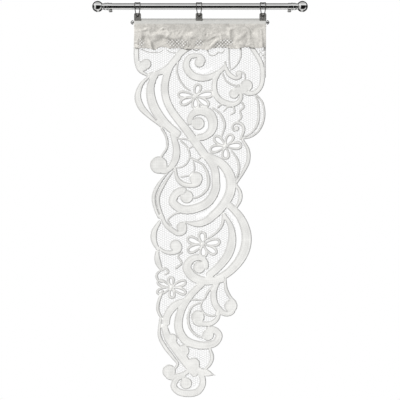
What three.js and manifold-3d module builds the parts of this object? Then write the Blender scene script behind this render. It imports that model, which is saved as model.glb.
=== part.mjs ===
// A lace net curtain that hangs by three clip rings from a rod with ball finials.
// Units are millimetres. The origin is on the rod's axis, half way along it. +X runs along the rod, +Z is up,
// and the front of the curtain faces -Y.
import * as THREE from "three";
import { mergeVertices } from "three/addons/utils/BufferGeometryUtils.js";
import Module from "manifold-3d";

const wasm = await Module();
wasm.setup();

// Clearance between pieces that touch
const GAP = 0.3;

// Rod and finials, lengths measured outwards from the middle of the rod
const ROD = { radius: 10, sides: 24, end: 293.5 };
const FINIAL = {
  mouth: 279,
  sleeveRadius: 11,
  lipStart: 289,
  lipRadius: 11.9,
  lipBevel: 0.9,
  collarStart: 294.5,
  collarRadius: 11.3,
  neckStart: 303.4,
  neckRadius: 9.6,
  neckFlare: 1.2,
  ballCentre: 324.3,
  ballRadius: 17.4,
  ballSteps: 9,
  sides: 22,
};
const SCREW = {
  along: 283.2,
  radius: 5.6,
  neckRadius: 4,
  neckLength: 1.2,
  headLength: 5.4,
  round: 1.2,
  sides: 14,
};

// Rings and clips, one set at each place along the rod
const HANGERS = [
  { name: "left", along: -198 },
  { name: "middle", along: -3 },
  { name: "right", along: 199.3 },
];

// A ring is a loop of bent wire. half: points of its middle line, across, back and up, from its foot at the
// clip to its bow over the rod. The other half mirrors it.
const RING = {
  wire: 1.4,
  steps: 44,
  sides: 8,
  half: [
    [0, -4.3, -31.8], [4.2, -4.3, -28.2], [5.4, -4.4, -23], [6.6, -6.5, -16], [7.8, -9.9, -8],
    [8.6, -12, 0], [8.4, -8.7, 8.5], [7, -1.5, 11.9], [4, 2.3, 12.1], [0, 3.1, 12.1],
  ],
};
const CLIP = {
  width: 21.6,
  top: -21.2,
  bottom: -44.8,
  shoulder: 4.5,
  shoulderPull: 0.5,
  corner: 1.2,
  sheet: 1,
};

// The stud that holds both jaws of a clip and carries the ring on its neck in front
const STUD = {
  drop: -27.9,
  radius: 1.9,
  headRadius: 2.7,
  frontHead: 1,
  neck: 3.4,
  backHead: 0.8,
  sides: 14,
};

// Cloth
const CLOTH = 1.3;
const HALF_WIDTH = 209;
const HEADING = {
  top: -38.7,
  chamfer: 1,
  seam: 9,
  hem: -131.5,
  looseFrom: 0.25,
  steps: 42,
  flapRows: 7,
  pocketSteps: 6,
};
const SLIM_ROD = { radius: 4, drop: -50.6, end: 211.5, sides: 16 };
const CAP = { radius: 7, length: 8, rim: 0.6, round: 2.4, roundMiddle: 0.3, sides: 16 };
const LACE = { ground: 1, raised: 2.2, through: 6.6, top: -58, topBand: 12 };

// The lace is drafted on squares: one count is a square's side. A point of the draft is counts across from the
// middle and counts down from the heading's hem.
const COUNT = 3.17;

// Fineness of the drafted curves
const MOST_TURN = 0.36;
const MOST_STEP = 40;
const LINK = 5;
const SPIRAL_STEP = 30;
const BULB_SIDES = 14;
const PETAL_SIDES = 10;
const CURVE_SAMPLES = 160;
const FLATNESS = 0.05;

// Tapes with plain ends. via: points of the middle line. width: counts at the start, half way and the end.
const TAPES = [
  // upper left: the corner and left lobe, the fan of tapes and the stem to the first flower
  { via: [[-63.2, -20], [-63.2, 14], [-60.5, 22], [-54, 26.5], [-49, 28.5]], width: [5.4, 5.6, 3] },
  { via: [[-61.5, 13], [-59, 19.5], [-53, 21]], width: [4, 6, 5] },
  { via: [[-38, 79], [-50, 68.5], [-59.5, 58], [-62.3, 48], [-58.5, 36], [-49, 27]], width: [3, 7.2, 3] },
  { via: [[-43.5, 24.5], [-47.3, 31.5], [-49.7, 41], [-47, 57], [-36, 74], [-20, 88]], width: [7, 10, 8] },
  { via: [[-4, -4], [-11, -1], [-18.8, 4.2], [-23.3, 9.9], [-29.4, 17.6], [-33, 26.3], [-35.5, 40],
    [-33.5, 52], [-28.5, 62.5], [-12, 84], [6, 109]], width: [7, 8, 9] },
  { via: [[-20, 8], [-28, 16], [-35.5, 22.2], [-44, 25.4], [-52, 26.5]], width: [6, 7, 4] },
  { via: [[-22, 13], [-23, 22], [-22, 28], [-19, 34], [-14, 40], [-9, 43]], width: [2, 2.2, 1.6] },
  // upper right: drop leaf, corner edge, the links between the scrolls and the double right lobe
  { via: [[29, -4], [28.8, 10], [30, 21]], width: [1.8, 2, 1.6] },
  { via: [[40, -4], [41, 6], [38.5, 14], [33, 20.5], [30, 22]], width: [1.8, 2, 1.6] },
  { via: [[65, -20], [65, 30]], width: [1.8, 1.8, 1.8] },
  { via: [[22, 24], [26, 32.5], [33, 37], [42, 37]], width: [1.8, 2, 2] },
  { via: [[33, 41], [40, 42], [48, 43]], width: [5, 8, 7] },
  { via: [[40, 23.5], [44, 25], [45.3, 29], [44.5, 33]], width: [1.6, 1.8, 1.6] },
  { via: [[55.5, 46], [62, 53.5], [64, 61], [64.2, 68], [62, 77], [57, 84.5], [50, 89], [42, 90.5]],
    width: [2, 2.6, 2.2] },
  { via: [[55, 47], [58, 54], [58.7, 62], [58.6, 70], [56, 79], [50.5, 85.5], [43, 89.5]],
    width: [1.8, 3.2, 1.6] },
  // curls beside the second flower
  { via: [[17, 60], [24, 55], [27, 59], [23, 63.5]], width: [2.4, 2.2, 1.6] },
  { via: [[26, 59], [33, 59], [34.5, 64], [30, 67]], width: [2, 2.2, 1.6] },
  { via: [[40, 52], [44, 59], [40, 63], [41.5, 69], [36, 75]], width: [2, 2.4, 2] },
  { via: [[12, 59], [21, 67], [24.7, 77], [21, 90]], width: [2, 3, 2] },
  // the stem that crosses the middle and its leaf loops
  { via: [[6, 107], [22, 116], [30.5, 130], [29.5, 146], [19, 162], [10, 170]], width: [8, 10.5, 9] },
  { via: [[14, 167], [7, 172.6], [0, 175.6], [-8, 175.6], [-16, 174]], width: [9, 7.4, 2.4] },
  { via: [[-39, 79], [-33.5, 90], [-33.3, 100], [-37, 106], [-39.5, 110]], width: [2.8, 2.8, 2.8] },
  { via: [[-24, 90], [-13, 91.5], [-4, 96]], width: [2, 1.8, 1.8] },
  { via: [[-20, 92], [-13, 99], [-10.5, 106], [-11, 111], [-14, 116], [-19, 119.3], [-23.5, 119.5]],
    width: [2, 2.4, 1.8] },
  { via: [[-12, 101], [-5.5, 98], [1, 108], [-3, 112], [-10, 109]], width: [2, 2.2, 2] },
  { via: [[-8, 111], [3, 117], [8.5, 130], [7, 141], [-2, 149], [-10, 150]], width: [2, 3.6, 2] },
  { via: [[-7, 113], [-5.5, 121], [-10, 127], [-20, 129]], width: [1.8, 2, 1.8] },
  // left lobes, from the long one down
  { via: [[-26.5, 120.5], [-37.5, 134], [-44, 149], [-43, 162], [-38, 173]], width: [3, 9, 6] },
  { via: [[-12, 164], [-24, 165.5], [-32, 172], [-28, 179]], width: [2.4, 2.2, 2] },
  { via: [[-40, 173], [-46, 184], [-46, 193], [-41, 203]], width: [4, 6.5, 4] },
  { via: [[-42.5, 202], [-43, 210], [-40, 219], [-36, 223]], width: [4, 6.5, 3] },
  { via: [[-41, 222], [-35, 220.5], [-31.5, 224], [-36, 227]], width: [2.6, 2.6, 2] },
  { via: [[-39, 222], [-43.5, 227], [-42, 232], [-37, 234.5]], width: [2.6, 3, 2.4] },
  { via: [[-25, 221], [-18.5, 215], [-22, 208], [-17, 204]], width: [2.6, 2.4, 2] },
  { via: [[-37, 242], [-42, 256], [-42, 263], [-38, 271]], width: [2.6, 3.6, 3] },
  // right lobes, from the second flower down
  { via: [[42, 91], [48, 102], [48, 113], [43, 124], [35.5, 136]], width: [3, 4.4, 3] },
  { via: [[31, 102], [37.5, 112], [39, 121], [35, 134]], width: [2, 3, 2.4] },
  { via: [[35.5, 136], [40, 144], [40, 152], [34.5, 162]], width: [3, 4.4, 3] },
  // the great right hand tapes and the stem to the third flower
  { via: [[27, 155], [40, 169], [46, 184], [46, 197], [41, 210], [30, 223], [15, 233]], width: [7, 10.5, 8] },
  { via: [[23, 165], [30.5, 178], [32, 192], [28.3, 206], [18.5, 219], [7, 229]], width: [4, 9.5, 8] },
  { via: [[24, 166], [21.5, 178], [14, 186.5], [5, 192]], width: [4, 3, 2] },
  // tail: net leaf, drop loop, inner line of the great scroll, edge lines
  { via: [[15, 236], [8, 244], [4, 252]], width: [2, 3, 2.6] },
  { via: [[-9, 251.5], [4, 252.5]], width: [2, 2, 2] },
  { via: [[3, 252], [1, 258], [3.5, 264.5], [9, 267.8], [15, 267.3], [17, 262.5], [11, 253]],
    width: [2, 2.2, 2] },
  { via: [[2, 254.5], [-7, 258], [-11.5, 267], [-10.5, 279], [-4, 287], [4, 290]], width: [2, 3, 2.4] },
  { via: [[25, 230], [26, 241], [30, 249], [36, 255]], width: [3, 4, 3] },
  { via: [[-39.5, 270], [-40.5, 288], [-35, 299], [-27, 309.5], [-22.5, 316], [-27, 323]],
    width: [3, 4.4, 3] },
  { via: [[9, 299], [12, 309], [10, 316], [5, 322]], width: [3, 4.4, 3] },
  { via: [[-2, 322], [8, 325.5], [15.5, 327.5]], width: [6, 7, 0.6] },
  { via: [[-11, 250], [-24.5, 257], [-32.5, 267], [-34.5, 278]], width: [4, 8.4, 8] },
  { via: [[-36.5, 276], [-32.5, 289], [-23, 302], [-12, 317], [-3, 328]], width: [7, 10, 8] },
];

// Tapes that end in a scroll. After the via points the middle line winds round the eye, through turn degrees
// (clockwise is positive), in to the radius tip. A round bulb fills the eye.
const SCROLLS = [
  { via: [[26, 18], [16, 26], [4, 30], [-8, 27], [-14, 17.5], [-10.5, 9], [-2.5, 7.6]],
    eye: [-0.5, 14.3], turn: 120, tip: 3.4, bulb: 5.2, width: [5, 8, 4] },
  { via: [[20, 22], [14.5, 34], [15.5, 46], [20, 52], [27, 55.3]],
    eye: [34, 45.5], turn: -190, tip: 4, bulb: 5.2, width: [5, 6.5, 4] },
  { via: [[25, 13], [25.8, 19], [29, 26], [35, 29.8]],
    eye: [39, 25.5], turn: -90, tip: 2, bulb: 3.4, width: [2, 5.2, 4] },
  { via: [[50, -4], [54, 3], [58.5, 10], [61.7, 18], [62.6, 28], [61, 37.5], [56.5, 43.5], [50.5, 45.5]],
    eye: [46.5, 37.5], turn: 50, tip: 6, bulb: 6.4, width: [5, 5.2, 5] },
  { via: [[40, 92], [43.5, 84]], eye: [36.5, 80.5], turn: -280, tip: 2.6, bulb: 2.8, width: [2.6, 3.4, 2] },
  { via: [[-4, 89.8], [4, 88.6], [11, 83.2], [13, 74.6], [9, 65.5]],
    eye: [-2, 75.5], turn: -150, tip: 7, bulb: 6.6, width: [7, 10.5, 6] },
  { via: [[4, 106], [9.5, 112], [14.7, 122], [15.7, 132], [15.5, 141], [8.7, 153.3], [-5, 160.6],
    [-18, 161.2], [-27.3, 154]],
    eye: [-13.3, 148.8], turn: 100, tip: 4.5, bulb: 6.7, width: [8, 9.4, 8.4] },
  { via: [[-28, 84], [-23.5, 102], [-25.5, 113], [-31, 121]],
    eye: [-41.3, 117], turn: 60, tip: 6, bulb: 8.8, width: [6, 8, 5] },
  { via: [[-25, 119], [-23, 130], [-18, 135.5], [-10, 137.5], [-3, 136.5]],
    eye: [-4, 130.5], turn: -60, tip: 4, bulb: 6.8, width: [3, 5.2, 5] },
  { via: [[-39.5, 166], [-34, 177], [-26, 183.5]],
    eye: [-18.3, 179.3], turn: -150, tip: 2.6, bulb: 5.6, width: [4, 5.4, 4.5] },
  { via: [[-42, 199], [-36, 203.5], [-28, 204.8], [-21, 202.5]],
    eye: [-24.5, 197.5], turn: -110, tip: 3, bulb: 6, width: [3, 5, 4] },
  { via: [[25, 230], [12, 233], [1, 232.5], [-8, 228], [-13.2, 219.5]],
    eye: [-0.8, 219.3], turn: 200, tip: 6.4, bulb: 6.3, width: [8, 9.5, 5] },
  { via: [[5, 233], [-10, 248], [-19, 263], [-21.5, 280], [-15, 292], [-3, 297], [8, 297.3],
    [15.5, 294.5], [19, 288]],
    eye: [8, 287], turn: -110, tip: 3, bulb: 6, width: [7, 9, 7] },
  { via: [[18, 232], [13.5, 245], [15, 256], [21, 263.5]],
    eye: [30.8, 258], turn: -100, tip: 4.4, bulb: 6.7, width: [6, 7, 5] },
  { via: [[19, 261], [17.5, 270], [11, 275.5], [2, 276]],
    eye: [-2.2, 269], turn: 90, tip: 4.5, bulb: 6.8, width: [4, 5.5, 5] },
  { via: [[-8, 319], [-15, 325.5], [-24, 328.3]],
    eye: [-31, 323.5], turn: 90, tip: 4.5, bulb: 6.8, width: [5, 5, 5] },
  { via: [[-4, 318], [2, 329], [2.3, 337], [-3, 344], [-13, 345.6], [-22, 343.5], [-26.3, 338.5]],
    eye: [-14, 335.5], turn: 100, tip: 6.5, bulb: 6, width: [6, 7.5, 6] },
];

// Round lobes on the right side of the tail's leaf
const BUDS = [
  { at: [-54.2, 16], radius: 5.5 },
  { at: [-28, 291], radius: 5.4 },
  { at: [-17, 303], radius: 6.4 },
  { at: [-6.5, 316], radius: 6.4 },
];

// Flowers of looped petals. reach: half width and half height. petals: their directions in degrees,
// clockwise from +X.
const FLOWERS = [
  { at: [-4.5, 48.3], reach: [18.7, 13], petals: [-75, -10, 36, 90, 154, 187] },
  { at: [25.5, 98.3], reach: [17, 13.5], petals: [-62, -4, 90, 166, 221] },
  { at: [3, 196.5], reach: [18.3, 13.5], petals: [-96, -10, 34, 88, 156, 201] },
  { at: [-28.5, 239.5], reach: [17, 11.5], petals: [-95, -22, 22, 88, 160, 203] },
];
const PETAL = { start: 0.04, width: 0.66, rim: 2.7, taper: 0.35, heart: 0.12 };

// Bare gaps between neighbouring tapes, with no net in them
const OPENINGS = [
  { via: [[-54, 34], [-57, 45], [-55.5, 54], [-49, 64], [-39, 76]], width: [1, 5.5, 1] },
  { via: [[-36.5, 25], [-40.6, 31.5], [-42.3, 40], [-42, 48.5], [-38.4, 58.5], [-31, 69], [-21, 80]],
    width: [2, 7.5, 1] },
  { via: [[12, 114], [21, 126], [23, 141], [19, 153], [9, 164], [-4, 169]], width: [1, 6, 1.5] },
  { via: [[28, 162], [35.5, 174], [39, 189], [37, 203], [30, 214.5], [18, 227]], width: [1.5, 5.5, 1] },
  { via: [[-9, 254], [-15, 265], [-15.5, 277], [-11, 287], [-2, 293], [6, 293.5]], width: [1, 5, 1.5] },
  { via: [[-18, 256], [-27.5, 267], [-29, 278], [-24, 288], [-14, 298]], width: [1.5, 5.5, 1] },
  { via: [[14, 17.5], [6, 22.5], [-2, 22.5], [-7.2, 16.5], [-6, 11.5]], width: [1, 3.4, 1] },
  { via: [[6, 70], [7, 76.5], [3, 82.2], [-6, 83.2]], width: [1, 3.4, 1] },
  { via: [[-21.6, 151], [-17, 156.8], [-8, 157], [3, 151.5]], width: [1, 4, 1] },
  { via: [[-8.5, 214], [-9, 221], [-5, 227.5], [3, 228.5], [8, 222]], width: [1, 3.2, 1] },
  { via: [[-22, 337], [-18, 342], [-8, 342.5], [-1.5, 336]], width: [1, 3.4, 1] },
];

// Soft creases of the crumpled flap. at: across and down from the heading's top. size: half length and half
// width. turn: degrees from level, clockwise. rise: how far it stands forward, or back where negative.
const CREASES = [
  { at: [-166, 26], size: [16, 7], turn: -42, rise: 3.2 },
  { at: [-156, 82], size: [34, 6], turn: 66, rise: 3.4 },
  { at: [-142, 50], size: [30, 8], turn: -4, rise: 2.6 },
  { at: [-116, 66], size: [26, 9], turn: 6, rise: -2.4 },
  { at: [-92, 62], size: [34, 7], turn: 16, rise: 2.8 },
  { at: [-36, 52], size: [26, 14], turn: 0, rise: 3 },
  { at: [-62, 84], size: [24, 9], turn: 30, rise: 2.2 },
  { at: [14, 72], size: [24, 9], turn: -40, rise: -2.4 },
  { at: [44, 80], size: [22, 8], turn: -38, rise: 3 },
  { at: [94, 44], size: [36, 8], turn: 84, rise: 2.6 },
  { at: [138, 52], size: [32, 7], turn: -36, rise: 2.8 },
  { at: [134, 84], size: [34, 8], turn: 12, rise: 2.6 },
  { at: [160, 30], size: [22, 8], turn: 62, rise: -2.2 },
  { at: [186, 58], size: [30, 9], turn: 82, rise: 2.4 },
];
const CREASE_STAND_OFF = 2.6;

// Uneven hem: how far each place along it drops below, or stands above, the mean hem
const HEM_WAVES = [
  { across: -209, drop: 0 },
  { across: -186, drop: 1.5 },
  { across: -168, drop: 1 },
  { across: -146, drop: 6 },
  { across: -122, drop: -3 },
  { across: -92, drop: 2 },
  { across: -62, drop: 0 },
  { across: -34, drop: 5 },
  { across: -6, drop: 3 },
  { across: 22, drop: 7 },
  { across: 52, drop: -1 },
  { across: 84, drop: 0 },
  { across: 110, drop: 3 },
  { across: 150, drop: -2 },
  { across: 184, drop: 1 },
  { across: 209, drop: -1 },
];

// Finishes
function finish(color, roughness, metalness) {
  return new THREE.MeshStandardMaterial({ color, roughness, metalness });
}
const CHROME = finish(0xd2d2d0, 0.12, 1);
const NICKEL = finish(0x8a8985, 0.35, 1);
const CLOTH_GREY = finish(0xcdcac4, 0.9, 0);
const LACE_WHITE = finish(0xf2f1ec, 0.9, 0);

// Helpers

const degrees = THREE.MathUtils.degToRad;
const mix = THREE.MathUtils.lerp;

function named(name, geometry, material) {
  const mesh = new THREE.Mesh(geometry, material);
  mesh.name = name;
  return mesh;
}

// A closed geometry as a solid that can be cut and joined
function solidOf(geometry) {
  const bare = geometry.clone();
  bare.deleteAttribute("normal");
  bare.deleteAttribute("uv");
  const merged = mergeVertices(bare, 1e-4);
  return new wasm.Manifold(
    new wasm.Mesh({
      numProp: 3,
      vertProperties: merged.attributes.position.array,
      triVerts: new Uint32Array(merged.index.array),
    }),
  );
}

// A solid back as a geometry
function geometryOf(solid) {
  const mesh = solid.getMesh();
  const geometry = new THREE.BufferGeometry();
  geometry.setAttribute("position", new THREE.BufferAttribute(mesh.vertProperties, 3));
  geometry.setIndex(new THREE.BufferAttribute(mesh.triVerts, 1));
  geometry.computeVertexNormals();
  return geometry;
}

const joined = (solids) => solids.reduce((whole, piece) => whole.add(piece));

// The same solid without the points that its flat faces and straight edges don't need
const trimmed = (solid) => solid.asOriginal().simplify(FLATNESS);

// A lathe turned to lie along +X, from a profile of [radius, along] pairs
function turned(profile, sides) {
  const points = profile.map(([radius, along]) => new THREE.Vector2(radius, along));
  return new THREE.LatheGeometry(points, sides).rotateZ(-Math.PI / 2);
}

// A flat shape with a depth, lying face up
function slab(shape, depth) {
  return new THREE.ExtrudeGeometry(shape, { depth, bevelEnabled: false, curveSegments: 4 });
}

// Stands a lying geometry upright, its upper face to the front
const upright = (geometry) => geometry.rotateX(Math.PI / 2);

function roundHole(x, y, radius, sides) {
  const points = [];
  for (let i = 0; i < sides; i++) {
    const angle = (2 * Math.PI * i) / sides;
    points.push(new THREE.Vector2(x + radius * Math.cos(angle), y + radius * Math.sin(angle)));
  }
  return points;
}

// Rod and finials

function rodTube() {
  const tube = new THREE.CylinderGeometry(ROD.radius, ROD.radius, 2 * ROD.end, ROD.sides);
  return named("rod_tube", tube.rotateZ(Math.PI / 2), CHROME);
}

function finialProfile() {
  const bore = ROD.radius + GAP;
  const seat = ROD.end + GAP;
  const neckEnd = FINIAL.ballCentre - Math.sqrt(FINIAL.ballRadius ** 2 - FINIAL.neckRadius ** 2);
  const profile = [
    [0, seat],
    [bore, seat],
    [bore, FINIAL.mouth],
    [FINIAL.sleeveRadius, FINIAL.mouth],
    [FINIAL.sleeveRadius, FINIAL.lipStart],
    [FINIAL.lipRadius, FINIAL.lipStart + FINIAL.lipBevel],
    [FINIAL.lipRadius, FINIAL.collarStart - FINIAL.lipBevel],
    [FINIAL.collarRadius, FINIAL.collarStart],
    [FINIAL.collarRadius, FINIAL.neckStart],
    [FINIAL.neckRadius, FINIAL.neckStart + FINIAL.neckFlare],
    [FINIAL.neckRadius, neckEnd],
  ];
  const first = Math.acos((neckEnd - FINIAL.ballCentre) / FINIAL.ballRadius);
  for (let i = 1; i < FINIAL.ballSteps; i++) {
    const angle = mix(first, 0, i / FINIAL.ballSteps);
    const along = FINIAL.ballCentre + FINIAL.ballRadius * Math.cos(angle);
    profile.push([FINIAL.ballRadius * Math.sin(angle), along]);
  }
  profile.push([0, FINIAL.ballCentre + FINIAL.ballRadius]);
  return profile;
}

function finial(side) {
  const mesh = named(`finial_${side}`, turned(finialProfile(), FINIAL.sides), CHROME);
  if (side === "left") mesh.rotation.z = Math.PI;
  return mesh;
}

function finialScrew(side) {
  const top = FINIAL.sleeveRadius + GAP;
  const shoulder = top + SCREW.neckLength;
  const end = shoulder + SCREW.headLength;
  const profile = [
    [0, top],
    [SCREW.neckRadius, top],
    [SCREW.neckRadius, shoulder],
    [SCREW.radius, shoulder],
    [SCREW.radius, end - SCREW.round],
    [SCREW.radius - SCREW.round, end],
    [0, end],
  ];
  const mesh = named(`finial_screw_${side}`, turned(profile, SCREW.sides), CHROME);
  mesh.rotation.y = Math.PI / 2;
  mesh.position.x = side === "left" ? -SCREW.along : SCREW.along;
  return mesh;
}

// Rings and clips

function ring(hanger) {
  const right = RING.half.map(([x, y, z]) => new THREE.Vector3(x, y, z));
  const left = RING.half.slice(1, -1).map(([x, y, z]) => new THREE.Vector3(-x, y, z));
  const loop = new THREE.CatmullRomCurve3([...right, ...left.reverse()], true);
  const wire = new THREE.TubeGeometry(loop, RING.steps, RING.wire, RING.sides, true);
  const mesh = named(`ring_${hanger.name}`, wire, NICKEL);
  mesh.position.x = hanger.along;
  return mesh;
}

function jawShape() {
  const half = CLIP.width / 2;
  const shape = new THREE.Shape();
  shape.moveTo(-half, CLIP.bottom + CLIP.corner);
  shape.quadraticCurveTo(-half, CLIP.bottom, -half + CLIP.corner, CLIP.bottom);
  shape.lineTo(half - CLIP.corner, CLIP.bottom);
  shape.quadraticCurveTo(half, CLIP.bottom, half, CLIP.bottom + CLIP.corner);
  shape.lineTo(half, CLIP.top - CLIP.shoulder);
  shape.quadraticCurveTo(half - CLIP.shoulderPull, CLIP.top, half - CLIP.shoulder, CLIP.top);
  shape.lineTo(-half + CLIP.shoulder, CLIP.top);
  shape.quadraticCurveTo(-half + CLIP.shoulderPull, CLIP.top, -half, CLIP.top - CLIP.shoulder);
  shape.holes.push(new THREE.Path(roundHole(0, STUD.drop, STUD.radius + GAP, STUD.sides)));
  return shape;
}

function clip(hanger) {
  const group = new THREE.Group();
  group.position.x = hanger.along;
  const face = CLOTH + GAP;
  const front = named(`clip_front_${hanger.name}`, upright(slab(jawShape(), CLIP.sheet)), NICKEL);
  front.position.y = -face;
  const back = named(`clip_back_${hanger.name}`, upright(slab(jawShape(), CLIP.sheet)), NICKEL);
  back.position.y = face + CLIP.sheet;
  group.add(front, back, stud(hanger));
  return group;
}

function stud(hanger) {
  const outside = CLOTH + GAP + CLIP.sheet;
  const frontHead = -outside - STUD.neck;
  const backHead = outside + GAP;
  const profile = [
    [0, frontHead - STUD.frontHead],
    [STUD.headRadius, frontHead - STUD.frontHead],
    [STUD.headRadius, frontHead],
    [STUD.radius, frontHead],
    [STUD.radius, backHead],
    [STUD.headRadius, backHead],
    [STUD.headRadius, backHead + STUD.backHead],
    [0, backHead + STUD.backHead],
  ];
  const mesh = named(`clip_pin_${hanger.name}`, turned(profile, STUD.sides), NICKEL);
  mesh.rotation.z = Math.PI / 2;
  mesh.position.z = STUD.drop;
  return mesh;
}

// Slim rod in the heading's pocket

function slimRod() {
  const bar = new THREE.CylinderGeometry(SLIM_ROD.radius, SLIM_ROD.radius, 2 * SLIM_ROD.end, SLIM_ROD.sides);
  const mesh = named("slim_rod", bar.rotateZ(Math.PI / 2), CHROME);
  mesh.position.z = SLIM_ROD.drop;
  return mesh;
}

function slimRodCap(side) {
  const start = SLIM_ROD.end + GAP;
  const end = start + CAP.length;
  const halfRound = CAP.roundMiddle * CAP.round;
  const profile = [
    [0, start],
    [CAP.radius - CAP.rim, start],
    [CAP.radius, start + CAP.rim],
    [CAP.radius, end - CAP.round],
    [CAP.radius - halfRound, end - halfRound],
    [CAP.radius - CAP.round, end],
    [0, end],
  ];
  const mesh = named(`rod_cap_${side}`, turned(profile, CAP.sides), CHROME);
  if (side === "left") mesh.rotation.z = Math.PI;
  mesh.position.z = SLIM_ROD.drop;
  return mesh;
}

// Heading: a folded strip with a pocket round the slim rod and a crumpled flap in front

// Its section in Y and Z, with the pocket as a hole
function headingShape() {
  const inner = SLIM_ROD.radius + GAP;
  const outer = inner + CLOTH;
  const meet = Math.acos(CLOTH / outer);
  const flapTop = SLIM_ROD.drop - outer * Math.sin(meet);
  const legEnd = flapTop - HEADING.seam;
  const arc = (from, to) => {
    const points = [];
    for (let i = 0; i <= HEADING.pocketSteps; i++) {
      const angle = mix(from, to, i / HEADING.pocketSteps);
      points.push([outer * Math.cos(angle), SLIM_ROD.drop + outer * Math.sin(angle)]);
    }
    return points;
  };
  const outline = [
    [-CLOTH, HEADING.top - HEADING.chamfer],
    [-CLOTH / 2, HEADING.top],
    [CLOTH / 2, HEADING.top],
    [CLOTH, HEADING.top - HEADING.chamfer],
    ...arc(meet, -meet),
    [CLOTH, legEnd],
    [0, legEnd],
  ];
  for (let i = 1; i <= HEADING.flapRows; i++) {
    outline.push([0, mix(legEnd, HEADING.hem, i / HEADING.flapRows)]);
  }
  for (let i = HEADING.flapRows; i >= 1; i--) {
    outline.push([-CLOTH, mix(legEnd, HEADING.hem, i / HEADING.flapRows)]);
  }
  outline.push([-CLOTH, legEnd]);
  outline.push(...arc(Math.PI + meet, Math.PI - meet));
  const shape = new THREE.Shape(outline.map(([y, z]) => new THREE.Vector2(y, z)));
  shape.holes.push(new THREE.Path(roundHole(0, SLIM_ROD.drop, inner, 2 * HEADING.pocketSteps)));
  return { shape, legEnd };
}

// How far the flap stands forward at a place on it
function creaseAt(x, z) {
  let rise = 0;
  for (const crease of CREASES) {
    const across = x - crease.at[0];
    const down = HEADING.top - crease.at[1] - z;
    const turn = degrees(crease.turn);
    const along = (across * Math.cos(turn) + down * Math.sin(turn)) / crease.size[0];
    const aside = (down * Math.cos(turn) - across * Math.sin(turn)) / crease.size[1];
    rise += crease.rise * Math.exp(-along * along - aside * aside);
  }
  return Math.max(rise + CREASE_STAND_OFF, 0);
}

// Drop of the hem below its mean, from the table by a smooth curve
function hemAt(x) {
  const next = HEM_WAVES.findIndex((row) => row.across >= x - 1e-3);
  if (next <= 0) return HEM_WAVES[0].drop;
  const [from, to] = [HEM_WAVES[next - 1], HEM_WAVES[next]];
  return mix(from.drop, to.drop, THREE.MathUtils.smoothstep(x, from.across, to.across));
}

function heading() {
  const { shape, legEnd } = headingShape();
  const strip = new THREE.ExtrudeGeometry(shape, {
    depth: 2 * HALF_WIDTH,
    steps: HEADING.steps,
    bevelEnabled: false,
  });
  const position = strip.attributes.position;
  for (let i = 0; i < position.count; i++) {
    const x = position.getZ(i) - HALF_WIDTH;
    let y = position.getX(i);
    let z = position.getY(i);
    const down = THREE.MathUtils.clamp((legEnd - z) / (legEnd - HEADING.hem), 0, 1);
    const free = THREE.MathUtils.smoothstep(down, 0, HEADING.looseFrom);
    y -= free * creaseAt(x, z);
    z -= down * hemAt(x);
    position.setXYZ(i, x, y, z);
  }
  return named("heading", geometryOf(trimmed(solidOf(strip))), CLOTH_GREY);
}

// Lace panel

const place = ([across, down]) => new THREE.Vector2(across * COUNT, HEADING.hem - down * COUNT);

// Points of a tape's middle line, with the windings of its scroll
function routeOf(row) {
  const route = row.via.map(place);
  if (!row.eye) return route;
  const eye = place(row.eye);
  const arm = route.at(-1).clone().sub(eye);
  const steps = Math.ceil(Math.abs(row.turn) / SPIRAL_STEP);
  for (let i = 1; i <= steps; i++) {
    const angle = arm.angle() - degrees((row.turn * i) / steps);
    const radius = mix(arm.length(), row.tip * COUNT, i / steps);
    route.push(new THREE.Vector2(eye.x + radius * Math.cos(angle), eye.y + radius * Math.sin(angle)));
  }
  return route;
}

function widthAt(row, share) {
  const [start, middle, end] = row.width;
  if (share < 0.5) return COUNT * mix(start, middle, THREE.MathUtils.smoothstep(share, 0, 0.5));
  return COUNT * mix(middle, end, THREE.MathUtils.smoothstep(share, 0.5, 1));
}

// Stations along a tape, close together only where it bends: point, unit normal and half width
function stationsOf(row) {
  const points = routeOf(row).map((p) => new THREE.Vector3(p.x, p.y, 0));
  const curve = new THREE.CatmullRomCurve3(points, false, "centripetal");
  const stations = [];
  let lastTangent = null;
  let lastPoint = null;
  for (let i = 0; i <= CURVE_SAMPLES; i++) {
    const share = i / CURVE_SAMPLES;
    const point = curve.getPointAt(share);
    const tangent = curve.getTangentAt(share);
    const bent = lastTangent ? lastTangent.angleTo(tangent) : Infinity;
    const gone = lastPoint ? lastPoint.distanceTo(point) : Infinity;
    if (bent < MOST_TURN && gone < MOST_STEP && i < CURVE_SAMPLES) continue;
    const normal = new THREE.Vector2(-tangent.y, tangent.x).normalize();
    stations.push({ point: new THREE.Vector2(point.x, point.y), normal, half: widthAt(row, share) / 2 });
    lastTangent = tangent;
    lastPoint = point;
  }
  return stations;
}

// One outline along a run of stations
function bandShape(stations) {
  const left = stations.map(({ point, normal, half }) => point.clone().addScaledVector(normal, half));
  const right = stations.map(({ point, normal, half }) => point.clone().addScaledVector(normal, -half));
  return new THREE.Shape([...left, ...right.reverse()]);
}

// A tape as solids, in links short enough that none meets itself
function tapeSolids(row, depth) {
  const stations = stationsOf(row);
  const solids = [];
  for (let i = 0; i < stations.length - 1; i += LINK) {
    const run = stations.slice(Math.max(i - 1, 0), i + LINK + 1);
    solids.push(solidOf(slab(bandShape(run), depth)));
  }
  if (row.bulb) solids.push(discSolid(row.eye, row.bulb, depth));
  return solids;
}

function discSolid(at, radius, depth) {
  const centre = place(at);
  const shape = new THREE.Shape(roundHole(centre.x, centre.y, radius * COUNT, BULB_SIDES));
  return solidOf(slab(shape, depth));
}

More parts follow.
